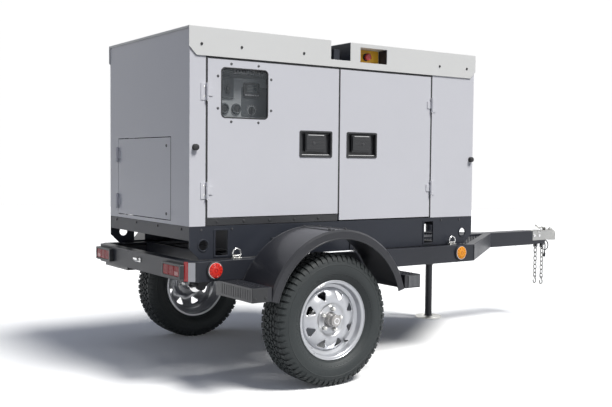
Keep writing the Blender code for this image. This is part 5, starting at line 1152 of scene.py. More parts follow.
def wheel_fittings(name, side):
    """Lug nuts on their studs, the grease cap and the tyre's valve."""
    place = wheel_place(side)
    nuts = bmesh.new()
    for k in range(5):
        spot = moved(spun(place, TAU * k / 5 + math.pi / 24), 0.0572, 0, 0)
        lathe(nuts, [(0.0068, 0.0530), (0.0108, 0.0555), (0.0112, 0.0570)], spot, 18)
        lathe(nuts, [(0.0064, 0.0560), (0.0112, 0.0565), (0.0115, 0.0580), (0.0115, 0.0720),
                     (0.0098, 0.0745), (0.0064, 0.0748)], spot, 6)
        lathe(nuts, [(0, 0.0740), (0.0066, 0.0740), (0.0066, 0.0775), (0.0056, 0.0785), (0, 0.0786)], spot,
              14)
    show(f"lug_nuts_{name}", nuts, ZINC, f"wheel_{name}", angle=30)
    cap = bmesh.new()
    profile = [(0.0345, 0.0480), (0.0345, 0.0640), (0.0340, 0.0670), (0.0333, 0.0680), (0.0333, 0.0700),
               (0.0345, 0.0715), (0.0345, 0.0750),
               (0.0310, 0.0795), (0.0300, 0.0810), (0.0298, 0.1000), (0.0304, 0.1010), (0.0304, 0.1050),
               (0.0288, 0.1075), (0.0240, 0.1090),
               (0.0236, 0.1122), (0.0215, 0.1130), (0.0175, 0.1130), (0.0165, 0.1108), (0.0120, 0.1106),
               (0.0112, 0.1130), (0.0060, 0.1138),
               (0.0052, 0.1150), (0, 0.1152)]
    lathe(cap, profile, place, 48)
    show(f"grease_cap_{name}", cap, STEEL, f"wheel_{name}", angle=40)
    valve = bmesh.new()
    turn = spun(place, -0.85)
    bar(valve, turn @ Vector((0.1720, 0, 0.0330)), turn @ Vector((0.1660, 0, 0.0500)), 0.0048, 14)
    bar(valve, turn @ Vector((0.1665, 0, 0.0490)), turn @ Vector((0.1600, 0, 0.0660)), 0.0036, 14, 0.0034)
    show(f"tyre_valve_{name}", valve, RUBBER, f"wheel_{name}", angle=40)


for wheel_name, wheel_side in SIDES:
    tyre(wheel_name, wheel_side)
    wheel_disc(wheel_name, wheel_side)
    wheel_fittings(wheel_name, wheel_side)


# ---------------------------------------------------------------- lamps, markers and tape


def tail_lamps():
    """Rectangular lamps on the bumper: housing with its rim, ribbed lens, reflex patch and screws."""
    for name, side in SIDES:
        place = facing((-1.7178, side * 0.4525, BUMPER_Z), (-1, 0, 0))
        housing = bmesh.new()
        plate(housing, place, 0.105, 0.037, 0.008, 0.0165)
        outline_sheet(housing, rounded(-0.105, -0.037, 0.105, 0.037, 0.008),
                      [rounded(-0.0915, -0.0265, 0.0915, 0.0265, 0.006)], moved(place, 0, 0, 0.0160),
                      0.0078)
        block(housing, (-0.096, -0.031, -0.044), (0.096, 0.031, 0.001), place)
        body = show(f"tail_lamp_housing_{name}", housing, PLASTIC, bevel=0.0015)
        glass = bmesh.new()
        plate(glass, place, 0.0910, 0.0260, 0.006, 0.0054, 0.0160)
        for k in range(6):
            z = -0.0200 + 0.0080 * k
            block(glass, (-0.084, z - 0.0010, 0.0206), (0.084, z + 0.0010, 0.0222), place)
        for u in (-0.030, 0.030):
            block(glass, (u - 0.0016, -0.0245, 0.0206), (u + 0.0016, 0.0245, 0.0228), place)
        show(f"tail_lamp_lens_{name}", glass, RED_LENS, bevel=0.0016)
        reflex = bmesh.new()
        plate(reflex, moved(place, -side * 0.060, -0.010, 0.0205), 0.022, 0.010, 0.003, 0.0020)
        show(f"tail_lamp_reflex_{name}", reflex, TAPE_RED, bevel=0.0006)
        screws = bmesh.new()
        for u in (-0.091, 0.091):
            screw_head(screws, moved(place, u * 1.07, 0.0, 0.0232), 0.0030, 0.0014)
        show(f"tail_lamp_screws_{name}", screws, BLACKENED, angle=40)
        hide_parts(f"tail_lamp_{name}")


def round_marker(name, side, end, x, material, deep):
    """Round side marker: rubber grommet, stepped lens, darker facets and a bright rim."""
    place = facing((x, side * RAIL_SIDE, MARKER_Z), (0, side, 0))
    ring = bmesh.new()
    lathe(ring, [(0, 0), (0.046, 0), (0.0462, 0.004), (0.0450, 0.0085), (0.0425, 0.0100), (0.0400, 0.0096),
                 (0.0392, 0.0070), (0, 0.0070)], place, 48)
    base = show(f"marker_ring_{name}_{end}", ring, RUBBER, angle=40)
    glass = bmesh.new()
    lathe(glass, [(0.0388, 0.0060), (0.0388, 0.0110), (0.0370, 0.0138), (0.0310, 0.0156), (0.0300, 0.0150),
                  (0.0290, 0.0158), (0.0210, 0.0168),
                  (0.0200, 0.0162), (0.0190, 0.0170), (0.0110, 0.0174), (0.0100, 0.0168), (0, 0.0172)],
                  place, 48)
    show(f"marker_lens_{name}_{end}", glass, material, angle=30)
    facets = bmesh.new()
    for k in range(12):
        block(facets, (0.0125, -0.0013, 0.0150), (0.0350, 0.0013, 0.0167), spun(place, TAU * k / 12))
    lathe(facets, [(0.0068, 0.0160), (0.0095, 0.0160), (0.0095, 0.0178), (0.0068, 0.0178)], place, 24,
          closed=True)
    show(f"marker_facets_{name}_{end}", facets, deep, angle=30)
    rim = bmesh.new()
    lathe(rim, [(0.0390, 0.0100), (0.0400, 0.0108), (0.0400, 0.0122), (0.0385, 0.0128), (0.0376, 0.0116)],
          place, 48, closed=True)
    show(f"marker_rim_{name}_{end}", rim, CHROME, angle=50)
    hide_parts(f"side_marker_{name}_{end}")


def tape():
    """Red and silver reflective tape on the bumper's sloping ends."""
    for name, side in SIDES:
        start, end = Vector((-1.7175, side * 0.5475)), Vector((-1.6695, side * 0.6025))
        along = (end - start).normalized()
        out = Vector((-abs(along.y), side * abs(along.x)))
        for tone, a, b, material in (("red", 0.003, 0.026, TAPE_RED), ("silver", 0.0266, 0.064, TAPE_GREY)):
            shape = bmesh.new()
            middle = start + along * (a + b) / 2
            place = facing((middle.x, middle.y, BUMPER_Z), (out.x, out.y, 0))
            half = (b - a) / 2
            plate(shape, place, half, 0.0475, 0.002, 0.0006, 0.0002)
            if tone == "red":
                for k in range(9):
                    v = 0.0108 * k
                    block(shape, (-half + 0.001, -0.044 + v, 0.0006), (half - 0.001, -0.0350 + v, 0.0010),
                          place)
            show(f"bumper_tape_{tone}_{name}", shape, material)


def licence_lamp():
    """Small lamp in the middle of the bumper, with its clear lens and two screws."""
    place = facing((BUMPER_X, -0.004, 0.618), (-1, 0, 0))
    shape = bmesh.new()
    plate(shape, place, 0.036, 0.012, 0.005, 0.0050, 0.0003)
    block(shape, (-0.024, 0.000, 0.004), (0.024, 0.012, 0.0215), place)
    show("licence_lamp_body", shape, CHROME, bevel=0.0016)
    shape = bmesh.new()
    block(shape, (-0.021, -0.006, 0.005), (0.021, 0.0004, 0.0195), place)
    show("licence_lamp_lens", shape, WHITE_LENS, bevel=0.0018)
    shape = bmesh.new()
    for u in (-0.030, 0.030):
        screw_head(shape, moved(place, u, 0, 0.0052), 0.0036, 0.0022)
    show("licence_lamp_screws", shape, ZINC, angle=40)


# ---------------------------------------------------------------- chassis


def fender_details(name, side):
    """Rolled lips along the fender's two edges, and two doubler bands with bolts over its top."""
    low = math.asin((0.487 - FENDER_CENTRE.z) / 0.445)
    angles = [low + (math.pi - 2 * low) * k / 60 for k in range(61)]

    def arc(radius, y):
        return [FENDER_CENTRE + Vector((radius * math.cos(a), side * y, radius * math.sin(a)))
                for a in angles]

    shape = bmesh.new()
    sweep(shape, arc(0.3985, 0.9105), 0.0038, 10)
    sweep(shape, arc(0.4425, 0.6125), 0.0034, 10)
    show(f"fender_rolled_lips_{name}", shape, FENDER_BLACK)
    bands, bolts = bmesh.new(), bmesh.new()
    for middle in (math.pi / 2 - 0.11, math.pi / 2 + 0.11):
        rows = []
        for turn, radius in ((-0.032, 0.4454), (-0.026, 0.4478), (0.026, 0.4478), (0.032, 0.4454)):
            out = Vector((math.cos(middle + turn), 0, math.sin(middle + turn)))
            rows.append([bands.verts.new(FENDER_CENTRE + out * radius + Vector((0, side * y, 0)))
                         for y in (0.616, 0.622, 0.885, 0.893)])
        for a, b in zip(rows, rows[1:]):
            for i in range(3):
                bands.faces.new((a[i], a[i + 1], b[i + 1], b[i]))
        out = Vector((math.cos(middle), 0, math.sin(middle)))
        for y in (0.642, 0.868):
            place = facing(FENDER_CENTRE + out * 0.4474 + Vector((0, side * y, 0)), out, (0, 1, 0))
            hex_bolt(bolts, place, 0.0075, 0.0055)
    doubler = show(f"fender_doublers_{name}", bands, FENDER_BLACK, angle=50)
    thick = doubler.modifiers.new("Solidify", "SOLIDIFY")
    thick.thickness, thick.offset = 0.0022, -1
    show(f"fender_bolts_{name}", bolts, BLACKENED, angle=30)


TREAD_PITCH = 0.026


def tread_bar(shape, x, y, z, row, top):
    """One raised bar of chequer plate, turned the other way on every second row."""
    turn = Matrix.Translation((x, y, z)) @ Matrix.Rotation(math.radians(45 if row % 2 else -45), 4, "Z")
    block(shape, (-0.0115, -0.0022, -0.0006), (0.0115, 0.0022, top), turn)


def tread_bars(shape, x0, x1, y0, y1, z):
    """Rows of raised bars over a rectangle."""
    row = 0
    x = x0 + TREAD_PITCH / 2
    while x < x1 - TREAD_PITCH / 4:
        y = y0 + TREAD_PITCH / 2 + (TREAD_PITCH / 2 if row % 2 else 0)
        while y < y1 - TREAD_PITCH / 4:
            tread_bar(shape, x, y, z, row, 0.0013)
            y += TREAD_PITCH
        x += TREAD_PITCH / 2
        row += 1


def steps(name, side):
    """Chequer plate, ribs and outer edge plate of the step boxes before and behind the fender."""
    finish = {"bevel": 0.0006, "segments": 1}
    for end, mark, dark in (("rear", -1, STEP_BLACK), ("front", 1, FENDER_BLACK)):
        shape = bmesh.new()
        x0, x1 = sorted((AXLE.x + mark * 0.446, AXLE.x + mark * 0.532))
        y0, y1 = sorted((side * 0.612, side * 0.906))
        tread_bars(shape, x0, x1, y0, y1, 0.5580)
        show(f"step_tread_{name}_{end}", shape, FENDER_BLACK, **finish)
        shape = bmesh.new()
        x = AXLE.x + mark * 0.5352
        for k in range(13):
            y = side * (0.622 + 0.0225 * k)
            block(shape, (x - 0.0008, y - 0.0022, 0.497), (x + 0.0010, y + 0.0022, 0.548))
        show(f"step_ribs_{name}_{end}", shape, dark, **finish)
        shape = bmesh.new()
        place = facing((AXLE.x + mark * 0.490, side * 0.9128, 0.522), (0, side, 0))
        outline_sheet(shape, rounded(-0.043, -0.034, 0.043, 0.033, 0.003), [], place, 0.0016)
        if end == "rear":
            for u in (-0.030, 0.030):
                hex_bolt(shape, moved(place, u, -0.016, 0.0016), 0.0058, 0.0040)
        show(f"step_edge_{name}_{end}", shape, STEP_BLACK, **finish)
        if end == "front":
            shape = bmesh.new()
            for k in range(9):
                u = -0.036 + 0.009 * k
                block(shape, (u - 0.0026, -0.031, 0.0014), (u + 0.0026, 0.030, 0.0034), place)
            show(f"step_edge_ribs_{name}", shape, STEP_GREY, bevel=0.0008, segments=1)


def lashing_ring(name, side, end, x):
    """Forged D-ring in its bracket on top of the rail, beside the skid."""
    y = side * 0.5375
    shape = bmesh.new()
    block(shape, (x - 0.026, y - 0.012, RAIL_TOP), (x + 0.026, y + 0.012, RAIL_TOP + 0.0044))
    for mark in (-1, 1):
        block(shape, (x + mark * 0.015 - 0.004, y - 0.006, 0.6640),
              (x + mark * 0.015 + 0.004, y + 0.006, 0.6790))
    show(f"lashing_bracket_{name}_{end}", shape, ZINC, bevel=0.0012)
    shape = bmesh.new()
    ring = [(-0.022, 0.674), (0.022, 0.674), (0.025, 0.684), (0.019, 0.702), (0, 0.711), (-0.019, 0.702),
            (-0.025, 0.684)]
    sweep(shape, [(x + u, y, z) for u, z in ring], 0.0042, 12, closed=True)
    show(f"lashing_ring_{name}_{end}", shape, CHROME, angle=60)


def skid_details():
    """Bolts along the skid's top edge, and dark rims about its slots and round holes."""
    shape = bmesh.new()
    for x in (-1.60, -1.42, 0.06, 0.215):
        for side in (-1, 1):
            hex_bolt(shape, side_place(x, 0.812, side), 0.0055, 0.0042)
    for y in (-0.42, -0.14, 0.14, 0.42):
        hex_bolt(shape, facing((REAR, y, 0.812), (-1, 0, 0)), 0.0055, 0.0042)
        hex_bolt(shape, facing((FRONT, y, 0.812), (1, 0, 0)), 0.0055, 0.0042)
    show("skid_bolts", shape, BLACKENED, angle=30)
    shape = bmesh.new()
    for side in (-1, 1):
        for x0, x1 in ((-1.5205, -1.4445), (-0.0815, -0.0055)):
            outer = rounded(-0.046, -0.0725, 0.046, 0.0725, 0.006)
            inner = rounded(-0.036, -0.0655, 0.036, 0.0655, 0.004)
            outline_sheet(shape, outer, [inner], side_place((x0 + x1) / 2, 0.741, side, 0.0003), 0.0030)
        for x in (-1.5875, 0.2425):
            profile = [(0.0262, -0.0002), (0.0330, -0.0002), (0.0330, 0.0022), (0.0310, 0.0034),
                       (0.0275, 0.0034),
                       (0.0262, 0.0022)]
            lathe(shape, profile, side_place(x, 0.7317, side, 0.0004), 36, closed=True)
    show("skid_opening_rims", shape, SKID_BLACK, bevel=0.0008)


def rail_fittings():
    """Mounting brackets with bolts, weld beads, and the lamp cable clipped along the rails."""
    shape, bolts = bmesh.new(), bmesh.new()
    for side in (-1, 1):
        for x in (-1.150, -0.62):
            side_block(shape, side, (x - 0.030, x + 0.030), (HALF + 0.0006, HALF + 0.0056),
                       (0.6606, 0.7560))
            side_block(shape, side, (x - 0.030, x + 0.030), (HALF + 0.0006, HALF + 0.0480),
                       (0.6606, 0.6656))
            hex_bolt(bolts, side_place(x, 0.728, side, 0.0056), 0.0095, 0.0072)
            for u in (0.016, -0.016):
                hex_bolt(bolts, facing((x + u, side * (HALF + 0.030), 0.6656), (0, 0, 1)), 0.0085, 0.0065)
    show("skid_mount_brackets", shape, BLACK, bevel=0.0014)
    show("skid_mount_bolts", bolts, BLACKENED, angle=30)
    shape = bmesh.new()
    for side in (-1, 1):
        run = [(-1.62, 0.585, 0.640), (-1.2, 0.5925, 0.628), (-0.6, 0.5925, 0.632), (0.0, 0.5925, 0.628),
               (0.20, 0.5905, 0.634)]
        sweep(shape, smooth_line([(x, side * y, z) for x, y, z in run], 0.03), 0.0042, 8)
    show("rail_lamp_cable", shape, RUBBER, angle=60)
    welds = bmesh.new()
    rng = random.Random(3)
    for side in (-1, 1):
        for k in range(20):
            spot = Matrix.Translation((BEND_X + rng.uniform(-0.0004, 0.0004), side * 0.6022,
                                       0.564 + 0.0047 * k))
            lathe(welds, [(0, -0.003), (0.0040, -0.002), (0.0046, 0), (0.0040, 0.002), (0, 0.003)],
                  spot @ Matrix.Rotation(rng.uniform(-0.2, 0.2), 4, "X"), 10)
    show("drawbar_bend_welds", welds, BLACK, angle=60)


def drawbar_deck():
    """Chequer-plate gussets let in between the drawbar's members and the tongue."""
    slope = (0.05 - 0.6025) / (0.9945 - BEND_X)
    corners = [(0.2165, 0.0535), (0.2165, 0.5860), (0.2480, 0.5860), (0.9170, 0.0840), (0.9170, 0.0535)]
    for name, side in SIDES:
        shape = bmesh.new()
        outline = [(x, side * y) for x, y in corners[::side]]
        outline_sheet(shape, outline, [], Matrix.Translation((0, 0, DECK_TOP - 0.0030)), 0.0030)
        show(f"drawbar_deck_{name}", shape, BLACK)
        bars = bmesh.new()
        row, x = 0, 0.235
        while x < 0.88:
            y = 0.070 + (TREAD_PITCH / 2 if row % 2 else 0)
            while y < 0.5860 + (x - 0.2480) * slope - 0.030:
                tread_bar(bars, x, side * y, DECK_TOP, row, 0.0014)
                y += TREAD_PITCH
            x += TREAD_PITCH / 2
            row += 1
        show(f"drawbar_deck_bars_{name}", bars, BLACK)


def jack_details():
    """The swivel jack: leg and foot, collars, cap, lock pin with its ring, and the head's screws."""
    spot = Vector((0.81176, 0.3968, 0))
    along, out = Vector((0.79989, -0.60013, 0)), Vector((0.60013, 0.79989, 0))
    upright = Matrix.Translation(spot)
    leg = bmesh.new()
    lathe(leg, [(0, 0.0130), (0.0330, 0.0130), (0.0290, 0.0180), (0.0258, 0.0230), (0.0255, 0.0260),
                (0.0255, 0.5200),
                (0.0215, 0.5200), (0.0215, 0.0240), (0, 0.0240)], upright, 40)
    tube = show("jack_leg_tube", leg, BLACK, "jack_leg", angle=40)
    foot = bmesh.new()
    lathe(foot,
          [(0, 0.0), (0.0950, 0.0), (0.0978, 0.0020), (0.0980, 0.0095), (0.0965, 0.0120), (0.0935, 0.0120),
                 (0.0920, 0.0085), (0.0880, 0.0070), (0.0450, 0.0070), (0.0370, 0.0125), (0.0300, 0.0140),
                 (0, 0.0140)], upright, 64)
    for k in range(4):
        lathe(foot, [(0, 0.0068), (0.0070, 0.0068), (0.0070, 0.0082), (0.0050, 0.0084), (0, 0.0080)],
              moved(spun(upright, TAU * (k + 0.5) / 4), 0.066, 0, 0), 16)
    show("jack_foot_plate", foot, ZINC, "jack_leg", angle=40)
    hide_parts("jack_leg")
    shape = bmesh.new()
    for low, high, radius in ((0.400, 0.416, 0.0335), (0.846, 0.854, 0.0325)):
        band = [(0.0302, low), (radius, low + 0.001), (radius, high - 0.001), (0.0302, high)]
        lathe(shape, band, upright, 40, closed=True)
    show("jack_tube_bands", shape, BLACK, "jack", angle=40)
    shape = bmesh.new()
    lathe(shape, [(0, 0.9105), (0.0215, 0.9105), (0.0225, 0.9125), (0.0190, 0.9165), (0.0080, 0.9185),
                  (0, 0.9188)],
          upright, 32)
    show("jack_cap", shape, PLASTIC, "jack", angle=50)
    shape = bmesh.new()
    pin = spot + Vector((0, 0, 0.609)) - out * 0.062
    bar(shape, pin + along * 0.036, pin + along * 0.078, 0.0058, 16)
    bar(shape, pin + along * 0.074, pin + along * 0.080, 0.0095, 16, 0.0080)
    ring = [pin + along * 0.086 + out * u + Vector((0, 0, v)) for u, v in circle(0.014, 20)]
    sweep(shape, ring, 0.0018, 8, closed=True)
    show("jack_lock_pin", shape, ZINC, "jack", angle=40)
    shape = bmesh.new()
    head = spot + out * 0.0523 + Vector((0, 0, 0.861))
    for u in (-0.017, 0.017):
        for v in (-0.022, 0.022):
            screw_head(shape, facing(head + along * u + Vector((0, 0, v)), out), 0.0040, 0.0026)
    show("jack_head_screws", shape, ZINC, "jack", angle=40)


def chains():
    """Welded links of the safety chains, with their eyes, hooks and spring keepers."""
    wire, inner, half_w, count = 0.0035, 0.0300, 0.0115, 8
    straight = inner / 2 + wire - half_w
    pitch = inner + 0.0016
    first = TONGUE_PIN_Z - (inner / 2 - half_w + wire) - 0.0007
    hook = [(0, -0.002), (0.004, -0.010), (0.012, -0.024), (0.012, -0.038), (0.002, -0.048),
            (-0.011, -0.045),
            (-0.017, -0.033), (-0.014, -0.022)]
    keeper = [(0.0075, 0.0030, -0.014), (-0.002, 0.0034, -0.018), (-0.0125, 0.0024, -0.0235),
              (-0.0125, -0.0024, -0.0235), (-0.002, -0.0034, -0.018), (0.0075, -0.0030, -0.014)]
    for name, side in SIDES:
        body = f"chain_{name}"
        shape = bmesh.new()
        for i in range(count):
            centre = Vector((TONGUE_PIN_X, side * 0.031, first - pitch * i))
            flat = Vector((0, 1, 0)) if i % 2 else Vector((1, 0, 0))
            line = []
            for end in (1, -1):
                for k in range(9):
                    u, v = half_w * math.cos(math.pi * k / 8), half_w * math.sin(math.pi * k / 8)
                    line.append(centre + flat * (end * u) + Vector((0, 0, end * (straight + v))))
            sweep(shape, line, wire, 12, closed=True)
            weld = [(0, -0.004), (0.0036, -0.0030), (0.0041, 0), (0.0036, 0.0030), (0, 0.004)]
            lathe(shape, weld, Matrix.Translation(centre + flat * half_w), 12)
        links = show(f"chain_links_{name}", shape, CHAIN_STEEL, body, angle=60)
        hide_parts(f"safety_chain_{name}")
        shape = bmesh.new()
        low = Vector((TONGUE_PIN_X, side * 0.031, first - pitch * (count - 1) - inner / 2 + 0.001))
        sweep(shape, smooth_line([low + Vector((x, 0, z)) for x, z in hook], 0.003), 0.0045, 14)
        eye = [low + Vector((0.0001 + u, 0, 0.0010 + v)) for u, v in circle(0.0072, 20)]
        sweep(shape, eye, 0.0026, 10, closed=True)
        show(f"chain_hook_{name}", shape, CHAIN_STEEL, body, angle=60)
        shape = bmesh.new()
        sweep(shape, [low + Vector(point) for point in keeper], 0.0010, 8)
        show(f"chain_keeper_{name}", shape, CHROME, body, angle=60)


def coupler_details():
    """Bolts, top plate, ball adjuster and pin ring of the coupler, and the chains' pins below it."""
    ball = facing((1.6993, 0, 0.6608), (0, 0, 1))
    shape = bmesh.new()
    for side in (-1, 1):
        for x in (1.476, 1.530):
            hex_bolt(shape, facing((x, side * 0.039, 0.622), (0, side, 0)), 0.0100, 0.0080)
        hex_bolt(shape, facing((1.6373, side * 0.0145, 0.6698), (0, side, 0)), 0.0075, 0.0050)
    show("coupler_bolts", shape, CHROME, angle=30)
    shape = bmesh.new()
    plate(shape, facing((1.5195, 0.0, 0.6582), (0, 0, 1)), 0.066, 0.030, 0.010, 0.0030)
    lathe(shape, [(0, 0), (0.0160, 0), (0.0160, 0.006), (0.0130, 0.009), (0, 0.009)], ball, 32)
    show("coupler_top_plate", shape, DULL_ZINC, bevel=0.0012)
    shape = bmesh.new()
    lathe(shape, [(0, 0.0085), (0.0075, 0.0085), (0.0075, 0.0150), (0.0055, 0.0165), (0, 0.0165)], ball, 6)
    show("coupler_adjuster", shape, CHROME, angle=30)
    shape = bmesh.new()
    bar(shape, (1.5400, -0.0440, 0.6720), (1.5400, -0.0380, 0.6720), 0.004, 12)
    ring = [(1.5350 + u, -0.0425, 0.6560 + v) for u, v in circle(0.015, 24)]
    sweep(shape, ring, 0.0015, 8, closed=True)
    show("coupler_pin_ring", shape, CHROME, angle=60)
    shape = bmesh.new()
    for mark in (-1, 1):
        low, high = [(TONGUE_PIN_X, mark * y, TONGUE_PIN_Z) for y in (0.0160, 0.0445)]
        bar(shape, low, high, 0.0034, 14)
        hex_bolt(shape, facing((TONGUE_PIN_X, mark * 0.0440, TONGUE_PIN_Z), (0, mark, 0)), 0.0070, 0.0050)
    show("chain_pins", shape, CHROME, angle=30)


tail_lamps()
for marker_name, marker_side in SIDES:
    round_marker(marker_name, marker_side, "rear", -1.5705, RED_ROUND, RED_DEEP)
    round_marker(marker_name, marker_side, "front", 0.1405, AMBER_ROUND, AMBER_DEEP)
    fender_details(marker_name, marker_side)
    steps(marker_name, marker_side)
    lashing_ring(marker_name, marker_side, "rear", -1.405)
    lashing_ring(marker_name, marker_side, "front", 0.134)
tape()
licence_lamp()
skid_details()
rail_fittings()
drawbar_deck()
jack_details()
chains()
coupler_details()


# ---------------------------------------------------------------- engine bay


def door_foam():
    """Sound foam panels inside each side door, laid round its latch and the window."""
    ends = {"rear": (-1.5195, -0.7785, 0.918, -0.8905), "front": (-0.6805, -0.0865, 0.881, -0.5685)}
    for name, side in SIDES:
        for end, (x0, x1, z0, latch_x) in ends.items():
            beside = (x0, latch_x - 0.122) if end == "rear" else (latch_x + 0.122, x1)
            above = (-1.182, x1) if (name, end) == ("right", "rear") else (x0, x1)
            shape = bmesh.new()
            for a, b, low, high in ((x0, x1, z0, 1.172), (*beside, 1.178, 1.342), (*above, 1.348, 1.641)):
                place = side_place((a + b) / 2, (low + high) / 2, side, -0.0225)
                plate(shape, place, (b - a) / 2, (high - low) / 2, 0.014, 0.0150)
            show(f"door_foam_{name}_{end}", shape, FOAM_AND_SLOT_SHADE, f"door_{name}_{end}", bevel=0.003)


def generator_dress():
    """Bands, cooling slots drawn as dark strips of painted shade, through bolts and terminal box of the generator."""
    middle = Matrix.Translation((0, 0, SHAFT))
    end = -1.3275
    shape = bmesh.new()
    for x in (-1.285, -0.965, -0.830):
        band = [(0.1985, 0.0), (0.2040, 0.001), (0.2050, 0.004), (0.2050, 0.014), (0.2040, 0.017),
                (0.1985, 0.018)]
        lathe(shape, band, Matrix.Translation((x, 0, SHAFT)) @ Matrix.Rotation(math.pi / 2, 4, "Y"), 48)
    for k in range(8):
        turn = Matrix.Rotation(TAU * (k + 0.5) / 8, 4, "X")
        block(shape, (-1.283, -0.006, 0.2000), (-0.830, 0.006, 0.2065), middle @ turn)
    block(shape, (-1.130, -0.080, 1.296), (-0.940, 0.080, 1.372))
    block(shape, (-1.136, -0.086, 1.371), (-0.934, 0.086, 1.380))
    show("generator_bands", shape, ENGINE, bevel=0.0015)
    # painted shade: dark strips on the housing stand for the shadowed openings of the cooling slots
    shape = bmesh.new()
    for k in range(28):
        turn = Matrix.Rotation(TAU * k / 28, 4, "X")
        for x0, x1 in ((-1.262, -1.190), (-0.930, -0.850)):
            block(shape, (x0, -0.007, 0.1990), (x1, 0.007, 0.2012), middle @ turn)
    show("generator_slots", shape, FOAM_AND_SLOT_SHADE, bevel=0.0008)
    bolts = bmesh.new()
    for x in (-1.120, -0.950):
        for y in (-0.070, 0.070):
            hex_bolt(bolts, facing((x, y, 1.380), (0, 0, 1), (0, 1, 0)), 0.006, 0.0045)
    rings = ((10, 0, ENGINE_BACK - 0.004, 0.186, 0.007), (8, 0.5, end - 0.0045, 0.184, 0.0075))
    for count, shift, x, radius, size in rings:
        for k in range(count):
            angle = TAU * (k + shift) / count
            spot = (x, radius * math.sin(angle), SHAFT + radius * math.cos(angle))
            hex_bolt(bolts, facing(spot, (-1, 0, 0)), size, 0.006)
    show("generator_bolts", bolts, ZINC, angle=30)
    shape = bmesh.new()
    place = facing((end, 0, SHAFT), (-1, 0, 0))
    rim = [(0.1700, -0.001), (0.1985, -0.001), (0.1985, 0.0030), (0.1940, 0.0050), (0.1750, 0.0050),
           (0.1700, 0.0030)]
    hub = [(0.0200, -0.001), (0.0600, -0.001), (0.0600, 0.0060), (0.0540, 0.0100), (0.0260, 0.0120),
           (0.0200, 0.0110)]
    lathe(shape, rim, place, 48, closed=True)
    lathe(shape, hub, place, 40, closed=True)
    for k in range(12):
        block(shape, (0.058, -0.0045, -0.0006), (0.172, 0.0045, 0.0062), spun(place, TAU * k / 12))
    show("generator_end_ribs", shape, ENGINE, bevel=0.0015)
    # painted shade: dark strips on the end bell stand for the shadowed openings of its slots
    shape = bmesh.new()
    for k in range(12):
        turn = spun(place, TAU * (k + 0.5) / 12)
        for radius in (0.100, 0.128, 0.156):
            half = radius * 0.155
            block(shape, (radius - 0.009, -half, -0.0006), (radius + 0.009, half, 0.0012), turn)
    show("generator_end_slots", shape, FOAM_AND_SLOT_SHADE, bevel=0.0008)


